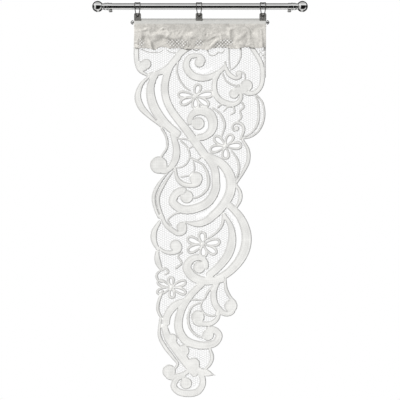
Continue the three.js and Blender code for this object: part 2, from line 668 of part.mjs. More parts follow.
// Outline of one petal, or of the hole in it when set in by some counts. It is broader away from the heart.
function petalOutline(flower, direction, setIn) {
  const turn = degrees(direction);
  const reach = COUNT * Math.hypot(flower.reach[0] * Math.cos(turn), flower.reach[1] * Math.sin(turn));
  const middle = (reach * (1 + PETAL.start)) / 2;
  const halfLength = (reach * (1 - PETAL.start)) / 2 - setIn * COUNT;
  const halfWidth = COUNT * ((PETAL.width * flower.reach[1]) / 2 - setIn);
  const centre = place(flower.at);
  const points = [];
  for (let i = 0; i < PETAL_SIDES; i++) {
    const angle = (2 * Math.PI * i) / PETAL_SIDES;
    const out = middle + halfLength * Math.cos(angle);
    const aside = halfWidth * Math.sin(angle) * (1 + PETAL.taper * Math.cos(angle));
    const x = out * Math.cos(turn) - aside * Math.sin(turn);
    const down = out * Math.sin(turn) + aside * Math.cos(turn);
    points.push(new THREE.Vector2(centre.x + x, centre.y - down));
  }
  return points;
}

function flowerSolids(flower, depth) {
  const solids = [discSolid(flower.at, PETAL.heart * flower.reach[0], depth)];
  for (const direction of flower.petals) {
    solids.push(solidOf(slab(new THREE.Shape(petalOutline(flower, direction, 0)), depth)));
  }
  return solids;
}

// Holes of the petals
function petalHoles(flower, depth) {
  return flower.petals.map((direction) => {
    const shape = new THREE.Shape(petalOutline(flower, direction, PETAL.rim));
    return solidOf(slab(shape, depth));
  });
}

// Closed loops of points round a lying solid's upper face, at the height top
function facePerimeters(solid, top) {
  const { vertProperties: spots, triVerts: corners } = solid.getMesh();
  const isUpper = (corner) => spots[3 * corner + 2] === top;
  const next = new Map();
  for (let i = 0; i < corners.length; i += 3) {
    const face = [corners[i], corners[i + 1], corners[i + 2]];
    if (!face.every(isUpper)) continue;
    face.forEach((corner, k) => {
      const after = face[(k + 1) % 3];
      if (next.get(after)?.delete(corner)) return;
      if (!next.has(corner)) next.set(corner, new Set());
      next.get(corner).add(after);
    });
  }
  const loops = [];
  for (const first of next.keys()) {
    const loop = [];
    let corner = first;
    while (next.get(corner)?.size) {
      loop.push(new THREE.Vector2(spots[3 * corner], spots[3 * corner + 1]));
      const [after] = next.get(corner);
      next.get(corner).delete(after);
      corner = after;
    }
    if (loop.length) loops.push(loop);
  }
  return loops;
}

// Net ground: it fills all that the border tapes go round
function netGround(raised) {
  const loops = facePerimeters(raised, Math.fround(LACE.raised));
  const area = (loop) => THREE.ShapeUtils.area(loop);
  const border = loops.reduce((widest, loop) => (area(loop) > area(widest) ? loop : widest));
  return solidOf(slab(new THREE.Shape(border), LACE.ground));
}

function lacePanel() {
  const topBand = new THREE.Shape([
    new THREE.Vector2(-HALF_WIDTH, LACE.top - LACE.topBand),
    new THREE.Vector2(HALF_WIDTH, LACE.top - LACE.topBand),
    new THREE.Vector2(HALF_WIDTH, LACE.top),
    new THREE.Vector2(-HALF_WIDTH, LACE.top),
  ]);
  const drafted = joined([
    solidOf(slab(topBand, LACE.raised)),
    ...TAPES.flatMap((row) => tapeSolids(row, LACE.raised)),
    ...SCROLLS.flatMap((row) => tapeSolids(row, LACE.raised)),
    ...BUDS.map((bud) => discSolid(bud.at, bud.radius, LACE.raised)),
    ...FLOWERS.flatMap((flower) => flowerSolids(flower, LACE.raised)),
  ]);
  const raised = solidOf(geometryOf(trimmed(drafted)));
  const bareGaps = joined(OPENINGS.flatMap((row) => tapeSolids(row, LACE.through)));
  const holes = joined(FLOWERS.flatMap((flower) => petalHoles(flower, LACE.through)));
  const whole = netGround(raised).subtract(bareGaps).add(raised).subtract(holes);
  const mesh = named("lace_panel", upright(geometryOf(trimmed(whole))), LACE_WHITE);
  mesh.position.y = CLOTH + GAP + LACE.raised;
  return mesh;
}

// The whole curtain

const curtain = new THREE.Group();
curtain.add(rodTube());
for (const side of ["left", "right"]) {
  curtain.add(finial(side), finialScrew(side), slimRodCap(side));
}
for (const hanger of HANGERS) {
  curtain.add(ring(hanger), clip(hanger));
}
curtain.add(slimRod(), heading(), lacePanel());

export default curtain;
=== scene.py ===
# %% [markdown]
# # A lace net curtain on a chrome rod
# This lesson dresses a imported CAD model: each solid is replaced by a finer piece of mesh that keeps its
# place. The curtain is a tapering panel of scroll and flower lace, sewn to a crumpled heading. A slim rod
# runs through the heading, and three clip rings hang it from a chrome rod with ball finials.

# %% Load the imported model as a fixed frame
import math

import bmesh
import bpy
import numpy as np
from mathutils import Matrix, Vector


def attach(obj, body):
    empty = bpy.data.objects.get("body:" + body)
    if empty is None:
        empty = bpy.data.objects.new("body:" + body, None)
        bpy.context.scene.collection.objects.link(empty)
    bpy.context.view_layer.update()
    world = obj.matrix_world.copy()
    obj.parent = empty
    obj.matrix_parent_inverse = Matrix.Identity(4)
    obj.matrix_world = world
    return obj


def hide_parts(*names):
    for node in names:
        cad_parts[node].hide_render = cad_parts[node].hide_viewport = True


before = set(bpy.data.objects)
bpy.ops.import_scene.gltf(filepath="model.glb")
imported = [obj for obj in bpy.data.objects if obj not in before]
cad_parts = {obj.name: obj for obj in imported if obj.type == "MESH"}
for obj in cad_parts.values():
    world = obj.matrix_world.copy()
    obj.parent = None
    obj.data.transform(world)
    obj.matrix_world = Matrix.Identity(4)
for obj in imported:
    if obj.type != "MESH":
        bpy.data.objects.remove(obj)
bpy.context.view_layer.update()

MM = 0.001
FULL_TURN = 2 * math.pi

# %% [markdown]
# ## Camera
# The photograph looks straight at the curtain from far away, so a long lens is used and the camera stands
# level with the middle of the picture. A shorter lens nearer by would bend the rod's ends towards us.

# %% Camera
LENS = 100
SENSOR = 36
PICTURE_WIDTH = 1.268
PICTURE_MIDDLE = -0.6135

scene = bpy.context.scene
camera_data = bpy.data.cameras.new("camera")
camera_data.lens = LENS
camera_data.sensor_width = SENSOR
camera = bpy.data.objects.new("camera", camera_data)
scene.collection.objects.link(camera)
camera_distance = PICTURE_WIDTH * LENS / SENSOR
camera.location = (0, -camera_distance, PICTURE_MIDDLE)
camera.rotation_euler = (math.radians(90), 0, 0)
scene.camera = camera
scene.view_settings.view_transform = "Standard"
print("camera", round(camera_distance, 3), "m in front of the curtain")

# %% [markdown]
# ## Nodes in few words
# Shaders are drawn as nodes. `add` makes one node, sets its options and fills its inputs, either with a
# plain value or with the output of another node. `new_group` opens a node group: a box with named sockets
# that more than one material can use.

# %% Node helpers
def add(tree, kind, inputs=None, **settings):
    made = tree.nodes.new("ShaderNode" + kind)
    for name, value in settings.items():
        setattr(made, name, value)
    for name, value in (inputs or {}).items():
        if isinstance(value, bpy.types.NodeSocket):
            tree.links.new(value, made.inputs[name])
        else:
            made.inputs[name].default_value = value
    return made


def math_node(tree, operation, *values):
    return add(tree, "Math", dict(enumerate(values)), operation=operation).outputs[0]


def product(tree, first, *others):
    for other in others:
        first = math_node(tree, "MULTIPLY", first, other)
    return first


def stretch(tree, value, low, high):
    """A value from 0 to 1 as one from low to high."""
    return add(tree, "MapRange", {"Value": value, "To Min": low, "To Max": high}).outputs["Result"]


def ramp_between(tree, value, start, end, low=0.0, high=1.0):
    """A smooth step of value: low before start, high after end."""
    inputs = {"Value": value, "From Min": start, "From Max": end, "To Min": low, "To Max": high}
    return add(tree, "MapRange", inputs, interpolation_type="SMOOTHSTEP").outputs["Result"]


def blend_colors(tree, factor, first, second):
    """Colour first where factor is 0 and second where it is 1."""
    return add(tree, "Mix", {0: factor, 6: first, 7: second}, data_type="RGBA").outputs[2]


def patch_mask(tree, scale, detail, roughness, edge):
    """Soft patches in a piece's own space, from 0 to 1."""
    where = add(tree, "TexCoord").outputs["Object"]
    inputs = {"Vector": where, "Scale": scale, "Detail": detail, "Roughness": roughness}
    return ramp_between(tree, add(tree, "TexNoise", inputs).outputs[0], *edge)


def new_group(name, inputs, outputs):
    """An empty node group. inputs are (label, kind, value) and outputs (label, kind)."""
    group = bpy.data.node_groups.new(name, "ShaderNodeTree")
    for label, kind, value in inputs:
        socket = group.interface.new_socket(label, in_out="INPUT", socket_type="NodeSocket" + kind)
        socket.default_value = value
    for label, kind in outputs:
        group.interface.new_socket(label, in_out="OUTPUT", socket_type="NodeSocket" + kind)
    entry = group.nodes.new("NodeGroupInput")
    leave = group.nodes.new("NodeGroupOutput")
    return group, entry.outputs, leave.inputs


def use_group(tree, group, inputs):
    return add(tree, "Group", inputs, node_tree=group).outputs


# %% [markdown]
# ## A soft studio
# The picture is a cut-out on white, so the camera sees a white world, and the cloth is lit by a dimmer one.
# Polished metal shows what stands round it: a dark card in front gives the rod its black stripe, and dark
# walls behind and beside give the balls their dark rims. A pale runner on the floor keeps the rod's under
# side light. Each of these is a range of directions with soft edges, and a Light Path node picks which of
# the three worlds a ray meets.

# %% World
WHITE = (1, 1, 1, 1)
CLOTH_LIGHT = 0.34
WALL_COLOR = (0.03, 0.03, 0.03, 1)
CARD_COLOR = (0.008, 0.008, 0.008, 1)
# axis of the direction, start and end of the edge, and where given the values before and after it
EDGES = dict(
    card_front=("Y", -0.45, -0.20, 1.0, 0.0),
    card_foot=("Z", -0.96, -0.88),
    card_head=("Z", 0.22, 0.38, 1.0, 0.0),
    card_left=("X", -0.64, -0.50),
    wall_behind=("Y", 0.05, 0.28),
    above_floor=("Z", -0.4, -0.2),
    beside_runner=("aside", 0.10, 0.16),
    side_walls=("aside", 0.90, 0.97),
    tent_side=("Z", -0.5, 0.4, 0.62, 0.95),
    tent_top=("Z", 0.5, 0.95, 1.0, 0.55),
)

world = bpy.data.worlds.new("studio")
world.use_nodes = True
scene.world = world
tree = world.node_tree
tree.nodes.clear()
ray = add(tree, "LightPath").outputs
direction = add(tree, "SeparateXYZ", {"Vector": add(tree, "TexCoord").outputs["Generated"]}).outputs
axes = {axis: direction[axis] for axis in "XYZ"}
axes["aside"] = math_node(tree, "ABSOLUTE", direction["X"])
edge = {name: ramp_between(tree, axes[axis], *ramp) for name, (axis, *ramp) in EDGES.items()}

card = product(tree, edge["card_foot"], edge["card_head"], edge["card_front"], edge["card_left"])
off_runner = math_node(tree, "MAXIMUM", edge["above_floor"], edge["beside_runner"])
wall = product(tree, edge["wall_behind"], off_runner)
wall = math_node(tree, "MAXIMUM", wall, edge["side_walls"])
tent = product(tree, edge["tent_side"], edge["tent_top"])
room = blend_colors(tree, wall, tent, WALL_COLOR)
room = blend_colors(tree, card, room, CARD_COLOR)

seen_white = add(tree, "Background", {"Color": WHITE}).outputs[0]
seen_by_cloth = add(tree, "Background", {"Color": WHITE, "Strength": CLOTH_LIGHT}).outputs[0]
seen_by_metal = add(tree, "Background", {"Color": room}).outputs[0]
lit = add(tree, "MixShader", {0: ray["Is Glossy Ray"], 1: seen_by_cloth, 2: seen_by_metal}).outputs[0]
shown = add(tree, "MixShader", {0: ray["Is Camera Ray"], 1: lit, 2: seen_white}).outputs[0]
add(tree, "OutputWorld", {"Surface": shown})
print("world:", len(EDGES), "soft edges")

# %% [markdown]
# Two suns light the cloth. A soft key light from the upper left puts a shade on the right and lower side of
# every raised cord, and a window light from behind shows the curtain's back. Metal does not mirror them.

# %% Lights
LIGHTS = [
    dict(name="key", strength=3.0, softness=25, direction=(0.62, 0.58, -0.52)),
    dict(name="window", strength=1.3, softness=10, direction=(0, -1, -0.1)),
]

for row in LIGHTS:
    sun = bpy.data.lights.new(row["name"], "SUN")
    sun.energy = row["strength"]
    sun.angle = math.radians(row["softness"])
    light = bpy.data.objects.new(row["name"], sun)
    light.rotation_euler = Vector(row["direction"]).to_track_quat("-Z", "Y").to_euler()
    light.visible_glossy = False
    scene.collection.objects.link(light)
print("lights:", [row["name"] for row in LIGHTS])

# %% [markdown]
# ## Effects that several materials share
# Nothing worn or woven is quite even. `uneven_tone` darkens a colour in soft patches, `thread_ribs` raises
# fine ribs along and across a piece's UV map, which is laid out in metres, and `handling_marks` varies how
# polished a metal is.

# %% Shared node groups
TONE_EDGE = (0.34, 0.66)
MARK_EDGE = (0.35, 0.7)

uneven_tone, entry, leave = new_group(
    "uneven_tone",
    [("Color", "Color", WHITE), ("Darkest", "Float", 0.8), ("Scale", "Float", 60.0)],
    [("Color", "Color")],
)
tree = uneven_tone
mask = patch_mask(tree, entry["Scale"], detail=4.0, roughness=0.6, edge=TONE_EDGE)
lightness = stretch(tree, mask, entry["Darkest"], 1.0)
darker = add(tree, "HueSaturation", {"Color": entry["Color"], "Value": lightness}).outputs["Color"]
tree.links.new(darker, leave["Color"])

thread_ribs, entry, leave = new_group(
    "thread_ribs",
    [("Along", "Float", 300.0), ("Across", "Float", 600.0)],
    [("Height", "Float")],
)
tree = thread_ribs
woven = add(tree, "SeparateXYZ", {"Vector": add(tree, "TexCoord").outputs["UV"]}).outputs
waves = []
for axis, count in (("X", "Along"), ("Y", "Across")):
    waves.append(math_node(tree, "SINE", product(tree, woven[axis], entry[count], FULL_TURN)))
height = math_node(tree, "MULTIPLY_ADD", math_node(tree, "ADD", *waves), 0.25, 0.5)
tree.links.new(height, leave["Height"])

handling_marks, entry, leave = new_group(
    "handling_marks",
    [("Scale", "Float", 90.0), ("Least", "Float", 0.05), ("Most", "Float", 0.15)],
    [("Roughness", "Float"), ("Mask", "Float")],
)
tree = handling_marks
mask = patch_mask(tree, entry["Scale"], detail=5.0, roughness=0.5, edge=MARK_EDGE)
tree.links.new(stretch(tree, mask, entry["Least"], entry["Most"]), leave["Roughness"])
tree.links.new(mask, leave["Mask"])
print("node groups:", [group.name for group in bpy.data.node_groups])

# %% [markdown]
# ## Materials
# Metals are a Principled shader with Metallic at 1. Cloth is the same shader, rough and with a little
# sheen, and its threads are a Bump. Cords are greyer than the tapes they edge: partly their own tightly
# twisted thread, and partly painted shade for the shade held between their threads and along the raised
# edge.

# %% Material helpers
RIB_STRENGTH = 0.6
CLOTH_FINISH = dict(Roughness=0.85, Sheen_Weight=0.15, Specular_IOR_Level=0.2)


def new_material(name, **constants):
    """A Principled material. Returns it with its node tree and its shader."""
    material = bpy.data.materials.new(name)
    material.use_nodes = True
    shader = material.node_tree.nodes["Principled BSDF"]
    for label, value in constants.items():
        shader.inputs[label.replace("_", " ")].default_value = value
    return material, material.node_tree, shader


def set_color(tree, shader, color):
    tree.links.new(color, shader.inputs["Base Color"])


def color_of(shader):
    """The output that the shader's colour comes from so far."""
    return shader.inputs["Base Color"].links[0].from_socket


def shade_color(tree, shader, tone):
    """Multiplies the brightness of the shader's colour."""
    toned = add(tree, "HueSaturation", {"Color": color_of(shader), "Value": tone})
    set_color(tree, shader, toned.outputs["Color"])


def bump(tree, shader, height, strength, distance):
    made = add(tree, "Bump", {"Height": height, "Strength": strength, "Distance": distance})
    tree.links.new(made.outputs["Normal"], shader.inputs["Normal"])


def new_uneven(name, color, darkest, scale, **constants):
    """A material of one colour with darker patches."""
    material, tree, shader = new_material(name, **constants)
    toned = use_group(tree, uneven_tone, {"Color": color, "Darkest": darkest, "Scale": scale})
    set_color(tree, shader, toned["Color"])
    return material, tree, shader


def new_cloth(name, color, darkest, scale, ribs, rib_height):
    """A rough cloth with ribs of thread, which are counted to a metre along and across."""
    material, tree, shader = new_uneven(name, color, darkest, scale, **CLOTH_FINISH)
    threads = use_group(tree, thread_ribs, {"Along": ribs[0], "Across": ribs[1]})
    bump(tree, shader, threads["Height"], RIB_STRENGTH, rib_height * MM)
    return material, tree, shader


def new_metal(name, color, darkest, scale, polish):
    """A metal whose polish varies between two roughnesses."""
    material, tree, shader = new_uneven(name, color, darkest, scale, Metallic=1.0)
    wear_and_fold_shade = use_group(tree, handling_marks, {"Scale": scale, "Least": polish[0], "Most": polish[1]})
    tree.links.new(wear_and_fold_shade["Roughness"], shader.inputs["Roughness"])
    return material, tree, shader, wear_and_fold_shade


# %% Metals
METALS = [
    dict(name="chrome", color=(0.86, 0.86, 0.85, 1), darkest=0.94, scale=60.0, polish=(0.04, 0.10)),
    dict(name="dull_chrome", color=(0.75, 0.75, 0.73, 1), darkest=0.85, scale=200.0, polish=(0.30, 0.45)),
    dict(name="ring_wire", color=(0.26, 0.255, 0.24, 1), darkest=0.7, scale=260.0, polish=(0.30, 0.45)),
    dict(name="nickel", color=(0.59, 0.58, 0.545, 1), darkest=0.75, scale=260.0, polish=(0.38, 0.55)),
]

made = [new_metal(**row) for row in METALS]
chrome, dull_chrome, ring_wire, nickel = (material for material, *_ in made)
_, tree, shader, wear_and_fold_shade = made[-1]
bump(tree, shader, wear_and_fold_shade["Mask"], strength=0.3, distance=0.4 * MM)
print("metals:", [row["name"] for row in METALS])

# %% Threads
TAPE_COLOR = (0.98, 0.975, 0.95, 1)
# painted shade in part: the cords are greyer to stand for the shade along the tapes' raised edges
CORD_COLOR = (0.72, 0.715, 0.70, 1)
NET_COLOR = (0.76, 0.76, 0.745, 1)
THREADS = [
    dict(name="lace_cord", color=CORD_COLOR, darkest=0.85, scale=90.0, ribs=(500, 500), rib_height=0.3),
    dict(name="net_thread", color=NET_COLOR, darkest=0.88, scale=70.0, ribs=(900, 900), rib_height=0.1),
    dict(name="lace_tape", color=TAPE_COLOR, darkest=0.87, scale=18.0, ribs=(700, 250), rib_height=0.15),
]
PICKS = {"Along": 165.0, "Across": 110.0}
PICK_RAMP = (0.2, 0.8, 0.965, 1.02)

made = [new_cloth(**row) for row in THREADS]
cord_cloth, net_thread, tape_cloth = (material for material, *_ in made)
_, tree, shader = made[-1]
picks = use_group(tree, thread_ribs, PICKS)["Height"]
shade_color(tree, shader, ramp_between(tree, picks, *PICK_RAMP))
print("cloths:", [row["name"] for row in THREADS])

# %% [markdown]
# ## From points to a piece
# Every piece is made the same way: points and faces are worked out with numpy, become a mesh, and the
# mesh's object rides on the imported model's one body, while the CAD node it stands for is hidden. Sizes in
# the tables are millimetres.

# %% Piece helpers
LATHE_SIDES = 72


def new_mesh(name, points, faces):
    mesh = bpy.data.meshes.new(name)
    mesh.from_pydata([tuple(point) for point in points], [], [tuple(face) for face in faces])
    return mesh


def face_outwards(mesh):
    shell = bmesh.new()
    shell.from_mesh(mesh)
    bmesh.ops.recalc_face_normals(shell, faces=shell.faces)
    shell.to_mesh(mesh)
    shell.free()


def new_piece(name, mesh, materials, node, sharp=50):
    """Links a mesh as a smooth piece that rides on the model and stands for a CAD node."""
    for material in materials:
        mesh.materials.append(material)
    mesh.shade_smooth()
    mesh.set_sharp_from_angle(angle=math.radians(sharp))
    piece = bpy.data.objects.new(name, mesh)
    scene.collection.objects.link(piece)
    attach(piece, "root")
    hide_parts(node)
    return piece


def metal_piece(name, shape, material, node, place=(0, 0, 0), mirror=1, sharp=50):
    """A piece of one material from points and faces, mirrored across if asked and moved to a place."""
    points, faces = shape
    mesh = new_mesh(name, (points * (mirror, 1, 1) + place) * MM, faces)
    face_outwards(mesh)
    return new_piece(name, mesh, [material], node, sharp)


def thicken(piece, name, thickness):
    """Gives a thin piece a thickness, half to each side."""
    solidify = piece.modifiers.new(name, "SOLIDIFY")
    solidify.thickness = thickness * MM
    solidify.offset = 0


def set_uv(mesh, uv):
    """Lays a UV map from one pair of numbers for each point."""
    layer = mesh.uv_layers.new(name="UVMap")
    corners = np.empty(len(mesh.loops), np.int32)
    mesh.loops.foreach_get("vertex_index", corners)
    layer.data.foreach_set("uv", np.asarray(uv, np.float32)[corners].ravel())


def grid_faces(rows, columns, first=0, close_rows=False, close_columns=False):
    """Quads of a grid of points, stored row by row, whose sides may join up."""
    down = np.arange(rows if close_rows else rows - 1)
    across = np.arange(columns if close_columns else columns - 1)
    row, column = np.meshgrid(down, across, indexing="ij")
    here, below = row * columns, (row + 1) % rows * columns
    beside = (column + 1) % columns
    corners = (here + column, here + beside, below + beside, below + column)
    return (np.stack(corners, axis=-1).reshape(-1, 4) + first).tolist()


def lathe(profile, sides=LATHE_SIDES):
    """Points and faces of (radius, along) pairs turned round the X axis, both ends on the axis."""
    angles = np.linspace(0, FULL_TURN, sides, endpoint=False)
    points, faces, rings = [], [], []
    for radius, along in profile:
        start = len(points)
        if radius == 0:
            points.append((along, 0.0, 0.0))
        else:
            points += [(along, radius * math.cos(a), radius * math.sin(a)) for a in angles]
        rings.append(range(start, len(points)))
    for ring, after in zip(rings, rings[1:]):
        for i in range(sides):
            k = (i + 1) % sides
            way = ((ring, i), (after, i), (after, k), (ring, k))
            corners = [circle[place % len(circle)] for circle, place in way]
            faces.append(list(dict.fromkeys(corners)))
    return np.array(points), faces


def bar(radius, half):
    """Profile of a plain round bar."""
    return [(0.0, -half), (radius, -half), (radius, half), (0.0, half)]


# %% [markdown]
# ## Rod and finials
# The rod is a drawn steel tube with a chrome finish, and each finial is a hollow ball spun together with a
# neck and a collar. Both are round about one line, so both are lathes: a profile of radius and distance,
# turned. The ball takes many steps because chrome shows every facet.

# %% Rod and finials
ROD_RADIUS = 10
ROD_END = 293.5
ROD_ROUND = 0.6
FINIAL_PROFILE = [
    (0.0, 293.8), (10.3, 293.8), (10.3, 279.0), (10.8, 279.0), (11.0, 279.3), (11.0, 288.8), (11.3, 289.1),
    (11.8, 289.7), (11.9, 290.3), (11.9, 293.2), (11.7, 293.8), (10.6, 294.4), (10.6, 295.0), (11.1, 295.5),
    (11.3, 296.2), (11.3, 302.4), (11.1, 303.1), (10.0, 303.7), (9.6, 304.4), (9.6, 308.5),
]
BALL_CENTRE = 324.3
BALL_RADIUS = 17.4
BALL_STEPS = 40
SIDES = {"left": -1, "right": 1}

rod_half = [(0.0, ROD_END), (ROD_RADIUS - ROD_ROUND, ROD_END), (ROD_RADIUS, ROD_END - ROD_ROUND)]
rod_profile = [(radius, -along) for radius, along in rod_half] + rod_half[::-1]
metal_piece("chrome_rod", lathe(rod_profile), chrome, "rod_tube", sharp=30)

neck_radius = FINIAL_PROFILE[-1][0]
first_angle = math.pi - math.asin(neck_radius / BALL_RADIUS)
ball = []
for angle in np.linspace(first_angle, 0, BALL_STEPS):
    ball.append((BALL_RADIUS * math.sin(angle), BALL_CENTRE + BALL_RADIUS * math.cos(angle)))
finial = lathe(FINIAL_PROFILE + ball)
for side, sign in SIDES.items():
    metal_piece(f"ball_{side}", finial, chrome, f"finial_{side}", mirror=sign, sharp=30)
print("finial profile has", len(FINIAL_PROFILE + ball), "points")

# %% [markdown]
# Each finial is fixed by a small thumb screw from below. Its head is knurled: the lathe's ring of points is
# pulled in and out a little, so the rim catches the light in ticks.

# %% Finial screws
SCREW_ALONG = 283.2
SCREW_PROFILE = [
    (0.0, 11.3), (4.0, 11.3), (4.0, 12.5), (5.2, 12.5), (5.6, 12.9), (5.6, 16.7), (5.2, 17.5), (4.2, 17.9),
    (0.0, 17.9),
]
SCREW_HEAD_FROM = 12.7
KNURLS = 24
KNURL_DEPTH = 0.03

turned, faces = lathe(SCREW_PROFILE, 4 * KNURLS)
down, aside, ahead = turned.T
is_head = down > SCREW_HEAD_FROM
pull = 1 - KNURL_DEPTH * is_head * (1 - np.cos(KNURLS * np.arctan2(ahead, aside))) / 2
screw = np.stack([aside * pull, ahead * pull, -down], axis=-1), faces
for side, sign in SIDES.items():
    place = (sign * SCREW_ALONG, 0, 0)
    metal_piece(f"screw_{side}", screw, dull_chrome, f"finial_screw_{side}", place)
print("screws hang", SCREW_PROFILE[-1][1], "mm below the rod's axis")

# %% [markdown]
# ## Slim rod in the heading
# It is hidden in its pocket, but its rounded end caps stand out at both sides.

# %% Slim rod and caps
SLIM_RADIUS = 4
SLIM_DROP = -50.6
SLIM_END = 211.5
SLIM_SIDES = 32
CAP_PROFILE = [
    (0.0, 211.8), (6.4, 211.8), (7.0, 212.4), (6.9, 213.6), (6.5, 215.0), (5.8, 216.4), (4.8, 217.7),
    (3.5, 218.8), (1.9, 219.5), (0.0, 219.8),
]
CAP_SIDES = 40

slim_bar = lathe(bar(SLIM_RADIUS, SLIM_END), SLIM_SIDES)
slim_place = (0, 0, SLIM_DROP)
pocket_rod = metal_piece("pocket_rod", slim_bar, chrome, "slim_rod", slim_place)
cap = lathe(CAP_PROFILE, CAP_SIDES)
for side, sign in SIDES.items():
    metal_piece(f"cap_{side}", cap, chrome, f"rod_cap_{side}", slim_place, mirror=sign)
print("caps reach", CAP_PROFILE[-1][1], "mm out")

# %% [markdown]
# ## Clip rings
# Each ring is a loop of bent wire. Its two legs run up in front of the rod and its bow lies over the rod's
# crown, so it hangs like a hook. Below, the legs draw together and go round a stud on the clip. The middle
# line of the loop is a smooth closed curve through a few points, and a small circle is carried along it.

# %% Rings
HANGERS = {"left": -198, "middle": -3, "right": 199.3}
LOOP_HALF = [
    (0, -4.3, -31.8), (4.2, -4.3, -28.2), (5.4, -4.4, -23), (6.6, -6.5, -16), (7.8, -9.9, -8),
    (8.6, -12, 0), (8.4, -8.7, 8.5), (7, -1.5, 11.9), (4, 2.3, 12.1), (0, 3.1, 12.1),
]
WIRE_RADIUS = 1.4
WIRE_SIDES = 14
LOOP_STEPS = 12


def unit(vectors):
    return vectors / np.linalg.norm(vectors, axis=-1, keepdims=True)


def bend(start, end, leaving, arriving, share):
    """Points of a cubic curve that leaves the start and arrives at the end with given slopes."""
    return ((2 * share**3 - 3 * share**2 + 1) * start + (share**3 - 2 * share**2 + share) * leaving
            + (3 * share**2 - 2 * share**3) * end + (share**3 - share**2) * arriving)


def closed_curve(points, steps):
    """Points of a smooth closed curve through the given ones, steps to each stretch."""
    share = np.arange(steps)[:, None] / steps
    stretches = zip(*(np.roll(points, places, axis=0) for places in (1, 0, -1, -2)))
    return np.concatenate([bend(b, c, (c - a) / 2, (d - b) / 2, share) for a, b, c, d in stretches])


loop_left = [(-x, y, z) for x, y, z in reversed(LOOP_HALF[1:-1])]
loop = closed_curve(np.array(LOOP_HALF + loop_left, float), LOOP_STEPS)
onward = unit(np.roll(loop, -1, axis=0) - np.roll(loop, 1, axis=0))
outward = loop - loop.mean(axis=0)
outward = unit(outward - onward * (outward * onward).sum(axis=1, keepdims=True))
beside = np.cross(onward, outward)
angle = np.linspace(0, FULL_TURN, WIRE_SIDES, endpoint=False)[:, None]
wire = loop[:, None] + WIRE_RADIUS * (np.cos(angle) * outward[:, None] + np.sin(angle) * beside[:, None])
ring = wire.reshape(-1, 3), grid_faces(len(loop), WIRE_SIDES, close_rows=True, close_columns=True)
for name, along in HANGERS.items():
    metal_piece(f"wire_ring_{name}", ring, ring_wire, f"ring_{name}", (along, 0, 0))
print(len(HANGERS), "rings of", len(loop) * WIRE_SIDES, "points")

# %% [markdown]
# A clip is two stamped plates held by a stud, with a rolled lip along the front plate's lower edge. The
# plates are flat curves with a thickness and a rounded edge, turned into meshes.

# %% Plates of the clips
CLIP_HALF = 10.8
CLIP_TOP = -21.2
CLIP_BOTTOM = -44.8
CLIP_SHOULDER = 4.5
SHOULDER_STEPS = 10
CLIP_CORNER = 1.2
CORNER_STEPS = 6
PLATE = 1.0
PLATE_ROUND = 0.3
STUD_DROP = -27.9
STUD_HOLE = 2.2
HOLE_STEPS = 36


def arc(centre, radius, start, end, steps):
    angles = np.radians(np.linspace(start, end, steps))
    return [(centre[0] + radius * math.cos(a), centre[1] + radius * math.sin(a)) for a in angles]


def plate_mesh(name, outline, hole, place):
    """A flat outline with a hole, as a plate with rounded edges that stands upright at a place."""
    curve = bpy.data.curves.new(name, "CURVE")
    curve.dimensions = "2D"
    curve.fill_mode = "BOTH"
    curve.extrude = (PLATE / 2 - PLATE_ROUND) * MM
    curve.bevel_depth = PLATE_ROUND * MM
    curve.bevel_resolution = 2
    curve.offset = -PLATE_ROUND * MM
    for line in (outline, hole):
        spline = curve.splines.new("POLY")
        spline.points.add(len(line) - 1)
        for point, (x, y) in zip(spline.points, line):
            point.co = (x * MM, y * MM, 0, 1)
        spline.use_cyclic_u = True
    maker = bpy.data.objects.new(name, curve)
    scene.collection.objects.link(maker)
    mesh = bpy.data.meshes.new_from_object(maker.evaluated_get(bpy.context.evaluated_depsgraph_get()))
    bpy.data.objects.remove(maker)
    shift = Vector([distance * MM for distance in place])
    for vertex in mesh.vertices:
        vertex.co = Vector((vertex.co.x, -vertex.co.z, vertex.co.y)) + shift
    return mesh


corner = (CLIP_HALF - CLIP_CORNER, CLIP_BOTTOM + CLIP_CORNER)
shoulder = (CLIP_HALF - CLIP_SHOULDER, CLIP_TOP - CLIP_SHOULDER)
right_side = arc(corner, CLIP_CORNER, -90, 0, CORNER_STEPS)
right_side += arc(shoulder, CLIP_SHOULDER, 0, 90, SHOULDER_STEPS)
jaw_outline = right_side + [(-x, y) for x, y in reversed(right_side)]
jaw_hole = arc((0, STUD_DROP), STUD_HOLE, 0, 360 - 360 / HOLE_STEPS, HOLE_STEPS)
print("clips are", 2 * CLIP_HALF, "mm wide, with outlines of", len(jaw_outline), "points")

# %% Clips
JAW_FACE = 1.6
STUD_PROFILE = [
    (0.0, -7.0), (2.1, -7.0), (2.7, -6.6), (2.7, -6.0), (1.9, -6.0), (1.9, 2.9), (2.7, 2.9), (2.7, 3.3),
    (2.3, 3.7), (0.0, 3.7),
]
STUD_SIDES = 28
LIP_RADIUS = 1.1
LIP_HALF = 10.2
LIP_SIDES = 20

lip = lathe(bar(LIP_RADIUS, LIP_HALF), LIP_SIDES)
points, faces = lathe(STUD_PROFILE, STUD_SIDES)
stud = points[:, [1, 0, 2]], faces
for name, along in HANGERS.items():
    for jaw, sign in (("front", -1), ("back", 1)):
        place = (along, sign * (JAW_FACE + PLATE / 2), 0)
        mesh = plate_mesh(f"jaw_{jaw}_{name}", jaw_outline, jaw_hole, place)
        new_piece(f"jaw_{jaw}_{name}", mesh, [nickel], f"clip_{jaw}_{name}", sharp=35)
    place = (along, -JAW_FACE - PLATE, CLIP_BOTTOM + LIP_RADIUS)
    metal_piece(f"lip_{name}", lip, nickel, f"clip_front_{name}", place)
    place = (along, 0, STUD_DROP)
    metal_piece(f"stud_{name}", stud, nickel, f"clip_pin_{name}", place, sharp=35)
print(len(HANGERS), "clips")

# %% [markdown]
# ## Heading
# The heading is one strip of dense lace, folded over the slim rod: a plain header and pocket at the top and
# a loose flap in front that has been crumpled in the wash. It could be simulated, but its creases would
# then fall anywhere. Here each main crease is a soft ridge or trough with a place, a size and a direction
# of its own, and a finer set is scattered by a seeded random generator.

